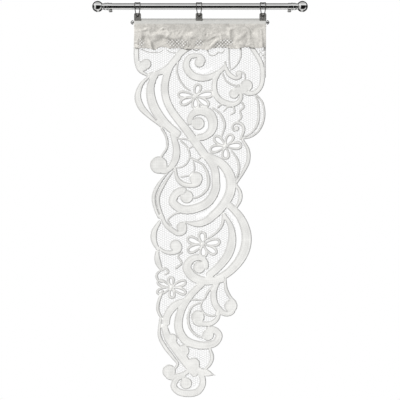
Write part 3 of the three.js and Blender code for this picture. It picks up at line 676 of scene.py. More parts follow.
# %% Creases and hem
HEADING_TOP = -38.7
HEADING_HEM = -131.5
HALF_WIDTH = 209.0
# across and down from the middle of the top, length, width, turn in degrees, rise
CREASES = [
    (-166, 26, 16, 7, -42, 3.2), (-156, 82, 34, 6, 66, 3.4), (-142, 50, 30, 8, -4, 2.6),
    (-116, 66, 26, 9, 6, -2.4), (-92, 62, 34, 7, 16, 2.8), (-36, 52, 26, 14, 0, 3.0),
    (-62, 84, 24, 9, 30, 2.2), (14, 72, 24, 9, -40, -2.4), (44, 80, 22, 8, -38, 3.0),
    (94, 44, 36, 8, 84, 2.6), (138, 52, 32, 7, -36, 2.8), (134, 84, 34, 8, 12, 2.6),
    (160, 30, 22, 8, 62, -2.2), (186, 58, 30, 9, 82, 2.4),
]
LOCAL_CREASES = [
    # left of the middle: the lifted edge, the hollows, the upright fold, leaf veins and the long S
    (-186, 52, 16, 8, 90, 2.2), (-188, 14, 12, 8, 90, 1.6), (-169, 65, 12, 9, 20, -3.0),
    (-155, 83, 15, 3.2, 66, 1.5), (-166, 89, 11, 7, 50, -2.0), (-142, 84, 12, 4.5, 66, -1.9),
    (-138, 41, 15, 6, -20, -1.8), (-137, 62, 12, 7, 0, 1.6), (-102, 72, 14, 7, 4, -3.4),
    (-120, 33, 13, 4, -32, 1.3), (-101, 40, 14, 3.5, 58, 1.2), (-75, 28, 13, 5, -10, -1.8),
    (-73, 59, 28, 4, 4, 0.8), (-71, 85, 16, 8, 10, -3.0), (-36, 41, 15, 8, -28, -2.4),
    (-24, 56, 10, 6, -10, 1.4),
    # right of the middle: two pin holes, the dark slant, the arc and the folds along the right edge
    (20, 49.5, 3.5, 3.5, 0, -2.0), (182, 24, 4, 4, 0, -2.4), (34, 73, 17, 5.5, -35, -4.6),
    (64, 52, 20, 5, -14, 1.1), (70, 88, 22, 9, -12, -3.2), (95, 39, 28, 4.5, 90, 0.8),
    (108, 78, 14, 8, 50, -2.8), (143, 34, 14, 4, 22, 1.3), (158, 52, 16, 4, 84, 1.1),
    (162, 35, 11, 5, 60, -2.0), (133, 83, 20, 4, 18, 0.9), (195, 52, 32, 3.5, 88, 1.0),
    (197, 86, 16, 6, 90, 2.2),
]
HEM_WAVES = [
    (-209, 0), (-186, 1.5), (-168, 1), (-146, 6), (-122, -3), (-92, 2), (-62, 0), (-34, 5), (-6, 3),
    (22, 7), (52, -1), (84, 0), (110, 3), (150, -2), (184, 1), (209, -1),
]
FINE_CREASES = 120
FINE_SEED = 7
FINE_RANGES = [(-HALF_WIDTH, HALF_WIDTH), (16, 96), (8, 22), (2.0, 4.0), (-90, 90), (-0.8, 0.9)]

chance = np.random.default_rng(FINE_SEED)
fine_creases = [[chance.uniform(*span) for span in FINE_RANGES] for _ in range(FINE_CREASES)]
print(len(CREASES), "main,", len(LOCAL_CREASES), "local and", len(fine_creases), "fine creases")

# %% Helpers of the heading
def smooth_step(share):
    """From 0 to 1 as share goes from 0 to 1, level at both ends."""
    share = np.clip(share, 0, 1)
    return share**2 * (3 - 2 * share)


def smooth_steps(x, table):
    """Values of a table of (place, value) with a smooth curve from each row to the next."""
    places, values = np.array(table, float).T
    index = np.clip(np.searchsorted(places, x) - 1, 0, len(places) - 2)
    share = smooth_step((x - places[index]) / (places[index + 1] - places[index]))
    return values[index] + (values[index + 1] - values[index]) * share


def length_along(points):
    """Distance of each point from the first one, along the line."""
    return np.concatenate([[0], np.cumsum(np.linalg.norm(np.diff(points, axis=0), axis=1))])


def from_middle(x, z, leaf):
    """Places x, z as seen from a crease's or a leaf's middle, across and down."""
    return x - leaf[0], HEADING_TOP - leaf[1] - z


def in_its_size(x, z, leaf):
    """Places x, z along and aside of a crease's or a leaf's own direction, where 1 is its size."""
    across, down = from_middle(x, z, leaf)
    length, width, turn = leaf[2], leaf[3], math.radians(leaf[4])
    along = across * math.cos(turn) + down * math.sin(turn)
    aside = down * math.cos(turn) - across * math.sin(turn)
    return along / length, aside / width


def crease_rise(x, z, creases):
    """How far the creases push the flap forward at places x, z."""
    total = np.zeros_like(x)
    for *leaf, rise in creases:
        along, aside = in_its_size(x, z, leaf)
        total += rise * np.exp(-along**2 - aside**2)
    return total


# %% [markdown]
# The strip is a grid. Its rows follow the fold from the hem, up the front, round the pocket, over the top
# and down the back. The creases push its flap forward, and the hem waves and ripples.

# %% Section of the fold
CLOTH = 1.3
POCKET_RADIUS = 4.3 + CLOTH / 2
LEG_END = -65.05
FLAP_ROWS = 52
POCKET_STEPS = 12
FOLD_STEPS = 7
LEG_STEPS = 5

meet = math.degrees(math.acos(CLOTH / 2 / POCKET_RADIUS))
front_arc = arc((0, SLIM_DROP), POCKET_RADIUS, 180 + meet, 180 - meet, POCKET_STEPS)
back_arc = arc((0, SLIM_DROP), POCKET_RADIUS, meet, -meet, POCKET_STEPS)
flap_heights = np.linspace(HEADING_HEM, front_arc[0][1], FLAP_ROWS, endpoint=False)
section = [(-CLOTH / 2, height) for height in flap_heights]
section += front_arc
section += arc((0, HEADING_TOP - CLOTH / 2), CLOTH / 2, 180, 0, FOLD_STEPS)
section += back_arc
section += [(CLOTH / 2, height) for height in np.linspace(back_arc[-1][1], LEG_END, LEG_STEPS)[1:]]
section = np.array(section)
section_length = length_along(section)
print("section has", len(section), "rows and is", round(section_length[-1], 1), "mm long")

# %% Crumpled surface
COLUMN_STEP = 1.5
STAND_OFF = 3.6
HEM_STAND_OFF = 1.4
LOOSE_FROM = 0.5
CRUMPLED_FROM = 0.12
SOFTNESS = 0.55
CREASE_GAIN = 1.55
FALL_LENGTH = 40.0
RIPPLE_DEPTH = 0.9
RIPPLE_FINE = 2.7
RIPPLE_BROAD = 9.1

columns = np.linspace(-HALF_WIDTH, HALF_WIDTH, round(2 * HALF_WIDTH / COLUMN_STEP))
rows = np.arange(len(section))[:, None]
x, z = np.meshgrid(columns, section[:, 1])
y = np.broadcast_to(section[:, :1], x.shape)
down = np.clip((LEG_END - z) / (LEG_END - HEADING_HEM), 0, 1) * (rows < FLAP_ROWS)
creased = SOFTNESS * crease_rise(x, z, CREASES) + crease_rise(x, z, LOCAL_CREASES + fine_creases)
creased *= CREASE_GAIN * smooth_step(down / CRUMPLED_FROM)
stand_off = smooth_step(down / LOOSE_FROM) * (STAND_OFF + (HEM_STAND_OFF - STAND_OFF) * down)
pushed = np.maximum(creased + stand_off, 0)
fall = smooth_step((SLIM_DROP - z) / FALL_LENGTH)
fallen = -POCKET_RADIUS + (POCKET_RADIUS - CLOTH / 2) * fall
y = np.where(rows < FLAP_ROWS + POCKET_STEPS // 2, np.minimum(y, fallen), y) - pushed
ripple = RIPPLE_DEPTH * np.sin(x / RIPPLE_FINE) * np.sin(x / RIPPLE_BROAD)
z = z - down * smooth_steps(x, HEM_WAVES) - down**4 * ripple
points = np.stack([x, y, z], axis=-1).reshape(-1, 3)
print("flap stands up to", round(pushed.max(), 1), "mm out")

# %% [markdown]
# Four leaves of openwork are pierced through the flap: their eyelets are missing faces, and the knots
# between them are shaded. Two rows of stitches run below the pocket. Both shades are kept in an attribute
# of the mesh, which the cloth's material reads.

# %% Openwork and stitches
# across and down from the middle of the top, length, width, turn in degrees
OPENWORK = [
    (-190, 77, 12, 15, 0),
    (-68, 79, 44, 17, 6),
    (-3, 77, 15, 12, -20),
    (76, 80, 34, 16, -16),
]
LEAF_RIM = 0.25
EYELET_STEP = 5.3
EYELET_EDGE = 0.50
EYELET_SHADE = 0.52
LEAF_SHADE = 0.1
STITCHED = [(-114, -6), (41, 95)]
STITCH_FADE = 4
STITCH_DROP = -56.5
STITCH_REACH = 1.8
STITCH_PITCH = 5.6
STITCH_SHADE = 0.22


def openwork(x, z, leaf):
    """How far inside a leaf places lie, and a wave that is 1 in an eyelet and -1 on a knot."""
    inside = smooth_step((1 - np.hypot(*in_its_size(x, z, leaf))) / LEAF_RIM)
    across, down = from_middle(x, z, leaf)
    return inside, np.cos(math.pi * across / EYELET_STEP) * np.cos(math.pi * down / EYELET_STEP)


faces = np.array(grid_faces(len(section), len(columns)))
x, _, z = points[faces].mean(axis=1).T
pierced = np.zeros(len(faces), bool)
for leaf in OPENWORK:
    inside, wave = openwork(x, z, leaf)
    pierced |= (inside > 0.5) & (wave > EYELET_EDGE)
pierced &= faces[:, 0] < FLAP_ROWS * len(columns)

x, _, z = points.T
shade = np.zeros(len(points))
for leaf in OPENWORK:
    inside, wave = openwork(x, z, leaf)
    shade += EYELET_SHADE * inside * (LEAF_SHADE + np.maximum(-wave, 0))
for start, end in STITCHED:
    zone = smooth_step((x - start) / STITCH_FADE) * smooth_step((end - x) / STITCH_FADE)
    zone *= np.exp(-(((z - STITCH_DROP) / STITCH_REACH) ** 2))
    shade += STITCH_SHADE * zone * (0.5 + 0.5 * np.cos(FULL_TURN * x / STITCH_PITCH))
print(pierced.sum(), "faces pierced")

# %% [markdown]
# The heading's cloth has a leafy relief and a fine grain. The pocket is greyer, and painted shade darkens
# it towards its top and darkens the fold above it still more. The strip's two ends are paler.

# %% Heading cloth
HEADING_COLOR = (0.80, 0.775, 0.725, 1)
HEADING_MOTIF = 95.0
VEIN_SHARE = 0.5
POCKET_COLOR = (0.75, 0.75, 0.725, 1)
# start and end of a ramp, and the tones or shares before and after it
LEAF_RAMP = (0.15, 0.6, 1.03, 0.93)
GRAIN_RAMP = (0.35, 0.65, 0.89, 1.08)
LEFT_RAMP = (-200 * MM, -188 * MM, 1.18, 1.0)
RIGHT_RAMP = (190 * MM, 200 * MM, 1.0, 1.07)
POCKET_RAMP = (-58 * MM, -54 * MM, 0.0, 0.75)
# painted shade: darker towards the pocket's top, and darker still along the fold at the heading's top
POCKET_TOP_SHADE_RAMP = (-53 * MM, -46 * MM, 1.0, 0.78)
FOLD_SHADE_RAMP = (2.5 * MM, 4.5 * MM, 0.72, 1.0)

heading_cloth, tree, shader = new_uneven(
    "heading_cloth", HEADING_COLOR, darkest=0.86, scale=32.0, **CLOTH_FINISH)
coordinates = add(tree, "TexCoord").outputs
where = coordinates["Object"]
motif = {"Vector": where, "Scale": HEADING_MOTIF}
leaves = add(tree, "TexVoronoi", motif, feature="SMOOTH_F1").outputs["Distance"]
veins = add(tree, "TexNoise", {"Vector": where, "Scale": 3 * HEADING_MOTIF, "Detail": 3.0}).outputs[0]
relief = math_node(tree, "ADD", leaves, product(tree, veins, VEIN_SHARE))
bump(tree, shader, relief, strength=0.5, distance=1.2 * MM)

place = add(tree, "SeparateXYZ", {"Vector": where}).outputs
leaf_tone = ramp_between(tree, leaves, *LEAF_RAMP)
grain = ramp_between(tree, veins, *GRAIN_RAMP)
left_end = ramp_between(tree, place["X"], *LEFT_RAMP)
right_end = ramp_between(tree, place["X"], *RIGHT_RAMP)
shade_color(tree, shader, product(tree, leaf_tone, grain, left_end, right_end))
on_pocket = ramp_between(tree, place["Z"], *POCKET_RAMP)
set_color(tree, shader, blend_colors(tree, on_pocket, color_of(shader), POCKET_COLOR))
# painted shade towards the top of the pocket
shade_color(tree, shader, ramp_between(tree, place["Z"], *POCKET_TOP_SHADE_RAMP))

fold_at = section_length[FLAP_ROWS + POCKET_STEPS + FOLD_STEPS // 2] * MM
along_strip = add(tree, "SeparateXYZ", {"Vector": coordinates["UV"]}).outputs["Y"]
from_fold = math_node(tree, "ABSOLUTE", math_node(tree, "SUBTRACT", along_strip, fold_at))
# painted shade along the fold at the heading's top
wear_and_fold_shade = ramp_between(tree, from_fold, *FOLD_SHADE_RAMP)
lace_tone = add(tree, "Attribute", attribute_name="lace_tone").outputs["Fac"]
shade_color(tree, shader, product(tree, wear_and_fold_shade, lace_tone))
print("heading motif repeats every", round(1 / HEADING_MOTIF / MM, 1), "mm or so")

# %% Heading
STRIP_THICKNESS = 1.1

mesh = new_mesh("heading_strip", points * MM, faces[~pierced].tolist())
tone = mesh.attributes.new("lace_tone", "FLOAT", "POINT")
tone.data.foreach_set("value", (1 - shade).astype(np.float32))
across, along = np.meshgrid(columns, section_length)
set_uv(mesh, np.stack([across, along], axis=-1).reshape(-1, 2) * MM)
heading = new_piece("heading_strip", mesh, [heading_cloth], "heading", sharp=180)
thicken(heading, "cloth", STRIP_THICKNESS)

# %% [markdown]
# ## The draft of the lace
# Lace like this is drafted on squared paper and worked as tapes that run, fork and curl up, with net
# between them. The draft is a set of tables: a tape is three widths and a few points of its middle line, a
# scroll goes on from its last point round an eye, a flower is a ring of looped petals. Counts are squares
# of the paper, across from the middle and down from the heading's hem, and `COUNT` is a square's side.

# %% Tapes of the draft
COUNT = 3.17


def tape(widths, *via):
    """A row of the draft: widths at the start, the middle and the end, and points on the way."""
    return dict(width=widths, via=via)


TAPES = [
    # upper left: the corner and left lobe, the fan of tapes and the stem to the first flower
    tape((5.4, 5.6, 3), (-63.2, -20), (-63.2, 14), (-60.5, 22), (-54, 26.5), (-49, 28.5)),
    tape((4, 6, 5), (-61.5, 13), (-59, 19.5), (-53, 21)),
    tape((3, 7.2, 3), (-38, 79), (-50, 68.5), (-59.5, 58), (-62.3, 48), (-58.5, 36), (-49, 27)),
    tape((7, 10, 8), (-43.5, 24.5), (-47.3, 31.5), (-49.7, 41), (-47, 57), (-36, 74), (-20, 88)),
    tape((7, 8, 9), (-4, -4), (-11, -1), (-18.8, 4.2), (-23.3, 9.9), (-29.4, 17.6), (-33, 26.3),
         (-35.5, 40), (-33.5, 52), (-28.5, 62.5), (-12, 84), (6, 109)),
    tape((6, 7, 4), (-20, 8), (-28, 16), (-35.5, 22.2), (-44, 25.4), (-52, 26.5)),
    tape((2, 2.2, 1.6), (-22, 13), (-23, 22), (-22, 28), (-19, 34), (-14, 40), (-9, 43)),
    # upper right: drop leaf, corner edge, the links between the scrolls and the double right lobe
    tape((1.8, 2, 1.6), (29, -4), (28.8, 10), (30, 21)),
    tape((1.8, 2, 1.6), (40, -4), (41, 6), (38.5, 14), (33, 20.5), (30, 22)),
    tape((1.8, 1.8, 1.8), (65, -20), (65, 30)),
    tape((1.8, 2, 2), (22, 24), (26, 32.5), (33, 37), (42, 37)),
    tape((5, 8, 7), (33, 41), (40, 42), (48, 43)),
    tape((1.6, 1.8, 1.6), (40, 23.5), (44, 25), (45.3, 29), (44.5, 33)),
    tape((2, 2.6, 2.2), (55.5, 46), (62, 53.5), (64, 61), (64.2, 68), (62, 77), (57, 84.5), (50, 89),
         (42, 90.5)),
    tape((1.8, 3.2, 1.6), (55, 47), (58, 54), (58.7, 62), (58.6, 70), (56, 79), (50.5, 85.5), (43, 89.5)),
    # curls beside the second flower
    tape((2.4, 2.2, 1.6), (17, 60), (24, 55), (27, 59), (23, 63.5)),
    tape((2, 2.2, 1.6), (26, 59), (33, 59), (34.5, 64), (30, 67)),
    tape((2, 2.4, 2), (40, 52), (44, 59), (40, 63), (41.5, 69), (36, 75)),
    tape((2, 3, 2), (12, 59), (21, 67), (24.7, 77), (21, 90)),
    # the stem that crosses the middle and its leaf loops
    tape((8, 10.5, 9), (6, 107), (22, 116), (30.5, 130), (29.5, 146), (19, 162), (10, 170)),
    tape((9, 7.4, 2.4), (14, 167), (7, 172.6), (0, 175.6), (-8, 175.6), (-16, 174)),
    tape((2.8, 2.8, 2.8), (-39, 79), (-33.5, 90), (-33.3, 100), (-37, 106), (-39.5, 110)),
    tape((2, 1.8, 1.8), (-24, 90), (-13, 91.5), (-4, 96)),
    tape((2, 2.4, 1.8), (-20, 92), (-13, 99), (-10.5, 106), (-11, 111), (-14, 116), (-19, 119.3),
         (-23.5, 119.5)),
    tape((2, 2.2, 2), (-12, 101), (-5.5, 98), (1, 108), (-3, 112), (-10, 109)),
    tape((2, 3.6, 2), (-8, 111), (3, 117), (8.5, 130), (7, 141), (-2, 149), (-10, 150)),
    tape((1.8, 2, 1.8), (-7, 113), (-5.5, 121), (-10, 127), (-20, 129)),
    # left lobes, from the long one down
    tape((1.6, 4.2, 3.4), (-28, 120.5), (-39.5, 133.5), (-45.6, 145), (-46.5, 152), (-44, 162.5),
         (-40.3, 170.5)),
    tape((1.6, 4.2, 3.4), (-25.5, 121.5), (-35, 134.5), (-41.2, 146), (-42.3, 152.5), (-39.8, 163),
         (-36, 172)),
    tape((2.4, 2.2, 2), (-12, 164), (-24, 165.5), (-32, 172), (-28, 179)),
    tape((4, 6.5, 4), (-40, 173), (-46, 184), (-46, 193), (-41, 203)),
    tape((4, 6.5, 3), (-42.5, 202), (-43, 210), (-40, 219), (-36, 223)),
    tape((2.6, 2.6, 2), (-41, 222), (-35, 220.5), (-31.5, 224), (-36, 227)),
    tape((2.6, 3, 2.4), (-39, 222), (-43.5, 227), (-42, 232), (-37, 234.5)),
    tape((2.6, 2.4, 2), (-25, 221), (-18.5, 215), (-22, 208), (-17, 204)),
    tape((2.6, 3.6, 3), (-37, 242), (-42, 256), (-42, 263), (-38, 271)),
    # right lobes, from the second flower down
    tape((3, 4.4, 3), (42, 91), (48, 102), (48, 113), (43, 124), (35.5, 136)),
    tape((2, 3, 2.4), (31, 102), (37.5, 112), (39, 121), (35, 134)),
    tape((3, 4.4, 3), (35.5, 136), (40, 144), (40, 152), (34.5, 162)),
    # the great right hand tapes and the stem to the third flower
    tape((7, 10.5, 8), (27, 155), (40, 169), (46, 184), (46, 197), (41, 210), (30, 223), (15, 233)),
    tape((4, 9.5, 8), (23, 165), (30.5, 178), (32, 192), (28.3, 206), (18.5, 219), (7, 229)),
    tape((4, 3, 2), (24, 166), (21.5, 178), (14, 186.5), (5, 192)),
    # tail: net leaf, drop loop, inner line of the great scroll, edge lines
    tape((2, 3, 2.6), (15, 236), (8, 244), (4, 252)),
    tape((2, 2, 2), (-9, 251.5), (4, 252.5)),
    tape((2, 2.2, 2), (3, 252), (1, 258), (3.5, 264.5), (9, 267.8), (15, 267.3), (17, 262.5), (11, 253)),
    tape((2, 3, 2.4), (2, 254.5), (-7, 258), (-11.5, 267), (-10.5, 279), (-4, 287), (4, 290)),
    tape((3, 4, 3), (25, 230), (26, 241), (30, 249), (36, 255)),
    tape((3, 4.4, 3), (-39.5, 270), (-40.5, 288), (-35, 299), (-27, 309.5), (-22.5, 316), (-27, 323)),
    tape((3, 4.4, 3), (9, 299), (12, 309), (10, 316), (5, 322)),
    tape((6, 7, 0.6), (-2, 322), (8, 325.5), (15.5, 327.5)),
    tape((4, 8.4, 8), (-11, 250), (-24.5, 257), (-32.5, 267), (-34.5, 278)),
    tape((7, 10, 8), (-36.5, 276), (-32.5, 289), (-23, 302), (-12, 317), (-3, 328)),
]
print(len(TAPES), "tapes")

# %% Scrolls of the draft
SCROLLS = [
    dict(via=[(26, 18), (16, 26), (4, 30), (-8, 27), (-14, 17.5), (-10.5, 9), (-2.5, 7.6)],
         eye=(-0.5, 14.3), turn=120, tip=3.4, bulb=5.2, width=(5, 8, 4)),
    dict(via=[(20, 22), (14.5, 34), (15.5, 46), (20, 52), (27, 55.3)],
         eye=(34, 45.5), turn=-190, tip=4, bulb=5.2, width=(5, 6.5, 4)),
    dict(via=[(25, 13), (25.8, 19), (29, 26), (35, 29.8)],
         eye=(39, 25.5), turn=-90, tip=2, bulb=3.4, width=(2, 5.2, 4)),
    dict(via=[(50, -4), (54, 3), (58.5, 10), (61.7, 18), (62.6, 28), (61, 37.5), (56.5, 43.5),
              (50.5, 45.5)], eye=(46.5, 37.5), turn=50, tip=6, bulb=6.4, width=(5, 5.2, 5)),
    dict(via=[(40, 92), (43.5, 84)], eye=(36.5, 80.5), turn=-280, tip=2.6, bulb=2.8, width=(2.6, 3.4, 2)),
    dict(via=[(-4, 89.8), (4, 88.6), (11, 83.2), (13, 74.6), (9, 65.5)],
         eye=(-2, 75.5), turn=-150, tip=7, bulb=6.6, width=(7, 10.5, 6)),
    dict(via=[(4, 106), (9.5, 112), (14.7, 122), (15.7, 132), (15.5, 141), (8.7, 153.3), (-5, 160.6),
              (-18, 161.2), (-27.3, 154)],
         eye=(-13.3, 148.8), turn=100, tip=4.5, bulb=6.7, width=(8, 9.4, 8.4)),
    dict(via=[(-28, 84), (-23.5, 102), (-25.5, 113), (-31, 121)],
         eye=(-41.3, 117), turn=60, tip=6, bulb=8.8, width=(6, 8, 5)),
    dict(via=[(-25, 119), (-23, 130), (-18, 135.5), (-10, 137.5), (-3, 136.5)],
         eye=(-4, 130.5), turn=-60, tip=4, bulb=6.8, width=(3, 5.2, 5)),
    dict(via=[(-39.5, 166), (-34, 177), (-26, 183.5)],
         eye=(-18.3, 179.3), turn=-150, tip=2.6, bulb=5.6, width=(4, 5.4, 4.5)),
    dict(via=[(-42, 199), (-36, 203.5), (-28, 204.8), (-21, 202.5)],
         eye=(-24.5, 197.5), turn=-110, tip=3, bulb=6, width=(3, 5, 4)),
    dict(via=[(25, 230), (12, 233), (1, 232.5), (-8, 228), (-13.2, 219.5)],
         eye=(-0.8, 219.3), turn=200, tip=6.4, bulb=6.3, width=(8, 9.5, 5)),
    dict(via=[(5, 233), (-10, 248), (-19, 263), (-21.5, 280), (-15, 292), (-3, 297), (8, 297.3),
              (15.5, 294.5), (19, 288)], eye=(8, 287), turn=-110, tip=3, bulb=6, width=(7, 9, 7)),
    dict(via=[(18, 232), (13.5, 245), (15, 256), (21, 263.5)],
         eye=(30.8, 258), turn=-100, tip=4.4, bulb=6.7, width=(6, 7, 5)),
    dict(via=[(19, 261), (17.5, 270), (11, 275.5), (2, 276)],
         eye=(-2.2, 269), turn=90, tip=4.5, bulb=6.8, width=(4, 5.5, 5)),
    dict(via=[(-8, 319), (-15, 325.5), (-24, 328.3)],
         eye=(-31, 323.5), turn=90, tip=4.5, bulb=6.8, width=(5, 5, 5)),
    dict(via=[(-4, 318), (2, 329), (2.3, 337), (-3, 344), (-13, 345.6), (-22, 343.5), (-26.3, 338.5)],
         eye=(-14, 335.5), turn=100, tip=6.5, bulb=6, width=(6, 7.5, 6)),
]
print(len(SCROLLS), "scrolls")

# %% [markdown]
# Thin cords edge the lace below the hem, buds fill the tail, and the openings are bare gaps beside tapes.

# %% Cords, buds, flowers and gaps of the draft
EDGE_CORDS = [
    # scallops below the heading's hem, from left to right, and the lattice in the right corner
    tape((0.8, 1, 0.8), (-59, 1), (-53, 3.6), (-46, 4.4), (-40, 4), (-37, 1.5)),
    tape((0.8, 1, 0.8), (-34, 1.5), (-29, 4.2), (-24, 4.4), (-20, 2.5)),
    tape((0.8, 1, 0.8), (-8, -1), (-5.5, 2), (-2, 2), (0, -1)),
    tape((1, 1.4, 1), (7.5, -1), (8.2, 4.5), (11, 7.3), (15.5, 6.6), (18, 4.2), (22, 4.8), (25, 1)),
    tape((0.7, 0.7, 0.7), (55.5, 3), (60, 9), (64.5, 16)),
    tape((0.7, 0.7, 0.7), (59, 2), (62, 6), (64.5, 10.5)),
    tape((0.7, 0.7, 0.7), (57.5, 8), (60, 5), (64, 1.5)),
    tape((0.7, 0.7, 0.7), (60, 11), (62, 8), (64.5, 6)),
]
BUDS = [
    dict(at=(-54.2, 16), radius=5.5),
    dict(at=(-28, 291), radius=5.4),
    dict(at=(-17, 303), radius=6.4),
    dict(at=(-6.5, 316), radius=6.4),
]
FLOWERS = [
    dict(at=(-4.5, 48.3), reach=(18.7, 13), petals=(-75, -10, 36, 90, 154, 187)),
    dict(at=(25.5, 98.3), reach=(17, 13.5), petals=(-62, -4, 90, 166, 221)),
    dict(at=(3, 196.5), reach=(18.3, 13.5), petals=(-96, -10, 34, 88, 156, 201)),
    dict(at=(-28.5, 239.5), reach=(17, 11.5), petals=(-95, -22, 22, 88, 160, 203)),
]
OPENINGS = [
    tape((1, 5.5, 1), (-54, 34), (-57, 45), (-55.5, 54), (-49, 64), (-39, 76)),
    tape((2, 7.5, 1), (-36.5, 25), (-40.6, 31.5), (-42.3, 40), (-42, 48.5), (-38.4, 58.5), (-31, 69),
         (-21, 80)),
    tape((1, 6, 1.5), (12, 114), (21, 126), (23, 141), (19, 153), (9, 164), (-4, 169)),
    tape((1.5, 5.5, 1), (28, 162), (35.5, 174), (39, 189), (37, 203), (30, 214.5), (18, 227)),
    tape((1, 5, 1.5), (-9, 254), (-15, 265), (-15.5, 277), (-11, 287), (-2, 293), (6, 293.5)),
    tape((1.5, 5.5, 1), (-18, 256), (-27.5, 267), (-29, 278), (-24, 288), (-14, 298)),
    tape((1, 3.4, 1), (14, 17.5), (6, 22.5), (-2, 22.5), (-7.2, 16.5), (-6, 11.5)),
    tape((1, 3.4, 1), (6, 70), (7, 76.5), (3, 82.2), (-6, 83.2)),
    tape((1, 4, 1), (-21.6, 151), (-17, 156.8), (-8, 157), (3, 151.5)),
    tape((1, 3.2, 1), (-8.5, 214), (-9, 221), (-5, 227.5), (3, 228.5), (8, 222)),
    tape((1, 3.4, 1), (-22, 337), (-18, 342), (-8, 342.5), (-1.5, 336)),
]
TOP_ROW = tape((3.8, 3.8, 3.8), (-65.9, -21.3), (65.9, -21.3))
print(len(EDGE_CORDS), "cords,", len(BUDS), "buds,", len(FLOWERS), "flowers,", len(OPENINGS), "bare gaps")

# %% [markdown]
# ## From the draft to bands
# A band is a run of stations: a point of the middle line, the direction across it and half its width.
# Middle lines are Catmull-Rom curves, which pass through every point of the draft without corners.

# %% Routes
STATION_STEP = 3.0
LEAST_STATIONS = 4
SPIRAL_STEP = 30
CURVE_STEPS = 24


def on_cloth(point):
    """A point of the draft in millimetres, across and up."""
    return np.array((point[0] * COUNT, HEADING_HEM - point[1] * COUNT))


def smooth_route(points):
    """Even steps along a curve through the points, and their distances along it."""
    ends = [2 * points[0] - points[1], *points, 2 * points[-1] - points[-2]]
    share = np.arange(0, 1, 1 / CURVE_STEPS)[:, None]
    fine = []
    for before, start, end, after in zip(ends, ends[1:], ends[2:], ends[3:]):
        pairs = ((before, start), (start, end), (end, after))
        lead, gap, tail = (np.linalg.norm(b - a) ** 0.5 for a, b in pairs)
        leaving = (end - start) + gap * ((start - before) / lead - (end - before) / (lead + gap))
        arriving = (end - start) + gap * ((after - end) / tail - (after - start) / (gap + tail))
        fine.append(bend(start, end, leaving, arriving, share))
    fine = np.concatenate([*fine, points[-1:]])
    length = length_along(fine)
    even = np.linspace(0, length[-1], max(LEAST_STATIONS, round(length[-1] / STATION_STEP)))
    return np.stack([np.interp(even, length, fine[:, k]) for k in (0, 1)], axis=-1), even


def route_points(row):
    """Points of a row's middle line, with the windings of its scroll."""
    route = [on_cloth(point) for point in row["via"]]
    if "eye" in row:
        eye = on_cloth(row["eye"])
        arm = route[-1] - eye
        start, reach = math.atan2(arm[1], arm[0]), np.linalg.norm(arm)
        steps = math.ceil(abs(row["turn"]) / SPIRAL_STEP)
        for share in np.arange(1, steps + 1) / steps:
            angle = start - math.radians(row["turn"] * share)
            radius = reach + (row["tip"] * COUNT - reach) * share
            route.append(eye + radius * np.array((math.cos(angle), math.sin(angle))))
    return np.array(route)


# %% Bands
END_ROUND = 0.6
END_SHARE = 0.3
LEAST_HALF = 0.35


def band(row):
    """Stations of a row: points, directions across, half widths and distances along."""
    points, along = smooth_route(route_points(row))
    tangent = unit(np.gradient(points, axis=0))
    normal = np.stack([-tangent[:, 1], tangent[:, 0]], axis=-1)
    widths = list(zip((0, 0.5, 1), row["width"]))
    half = smooth_steps(along / along[-1], widths) * COUNT / 2
    from_end = np.minimum(along, along[-1] - along)
    roundness = np.sqrt(1 - (1 - np.clip(from_end / (END_ROUND * half), 0, 1)) ** 2)
    half = np.maximum(half * np.maximum(roundness, END_SHARE), LEAST_HALF)
    return dict(points=points, normal=normal, half=half, along=along)


bands = [band(row) for row in TAPES + SCROLLS + EDGE_CORDS + [TOP_ROW]]
gaps = [band(row) for row in OPENINGS]
print(len(bands), "bands,", sum(len(shape["half"]) for shape in bands), "stations")

# %% [markdown]
# Petals are bands too, closed loops between an outer outline and the outline of the hole. Bulbs, buds and
# the hearts of the flowers are discs.

# %% Petals and discs
PETAL_STEPS = 28
PETAL_START = 0.04
PETAL_WIDTH = 0.66
PETAL_RIM = 2.7
PETAL_TAPER = 0.35
PETAL_HEART = 0.12


def petal_frame(flower, degrees):
    """Centre, the directions along and across, half length and half width of one petal."""
    turn = math.radians(degrees)
    length, breadth = flower["reach"]
    reach = COUNT * math.hypot(length * math.cos(turn), breadth * math.sin(turn))
    out = np.array((math.cos(turn), -math.sin(turn)))
    aside = np.array((-math.sin(turn), -math.cos(turn)))
    centre = on_cloth(flower["at"]) + reach * (1 + PETAL_START) / 2 * out
    return centre, out, aside, reach * (1 - PETAL_START) / 2, PETAL_WIDTH * COUNT * breadth / 2


def petal(flower, degrees):
    """A loop between the petal's outline and the outline of its hole, broader away from the heart."""
    centre, out, aside, half_length, half_width = petal_frame(flower, degrees)
    angle = np.linspace(0, FULL_TURN, PETAL_STEPS, endpoint=False)[:, None]
    outer, inner = (
        centre + (half_length - inset) * np.cos(angle) * out
        + (half_width - inset) * np.sin(angle) * (1 + PETAL_TAPER * np.cos(angle)) * aside
        for inset in (0, PETAL_RIM * COUNT)
    )
    half = np.linalg.norm(outer - inner, axis=1) / 2
    points = (outer + inner) / 2
    normal = (outer - inner) / (2 * half[:, None])
    return dict(points=points, normal=normal, half=half, along=length_along(points), closed=True)


def disc(place, radius):
    return dict(centre=on_cloth(place), radius=radius * COUNT)


petals = [petal(flower, degrees) for flower in FLOWERS for degrees in flower["petals"]]
discs = [disc(row["eye"], row["bulb"]) for row in SCROLLS]
discs += [disc(bud["at"], bud["radius"]) for bud in BUDS]
discs += [disc(flower["at"], PETAL_HEART * flower["reach"][0]) for flower in FLOWERS]
print(len(petals), "petals,", len(discs), "discs")

# %% [markdown]
# ## Where one band covers another
# Where bands cross or merge they are one cloth, and the cord runs only round the outside. So every cord is
# pressed flat where its edge lies inside another band. A point's depth in a band is the band's half width
# less the distance to its nearest station.

# %% Depth in the other bands
EXPOSED = 0.3
COVERED = 1.8
AT_ONCE = 400

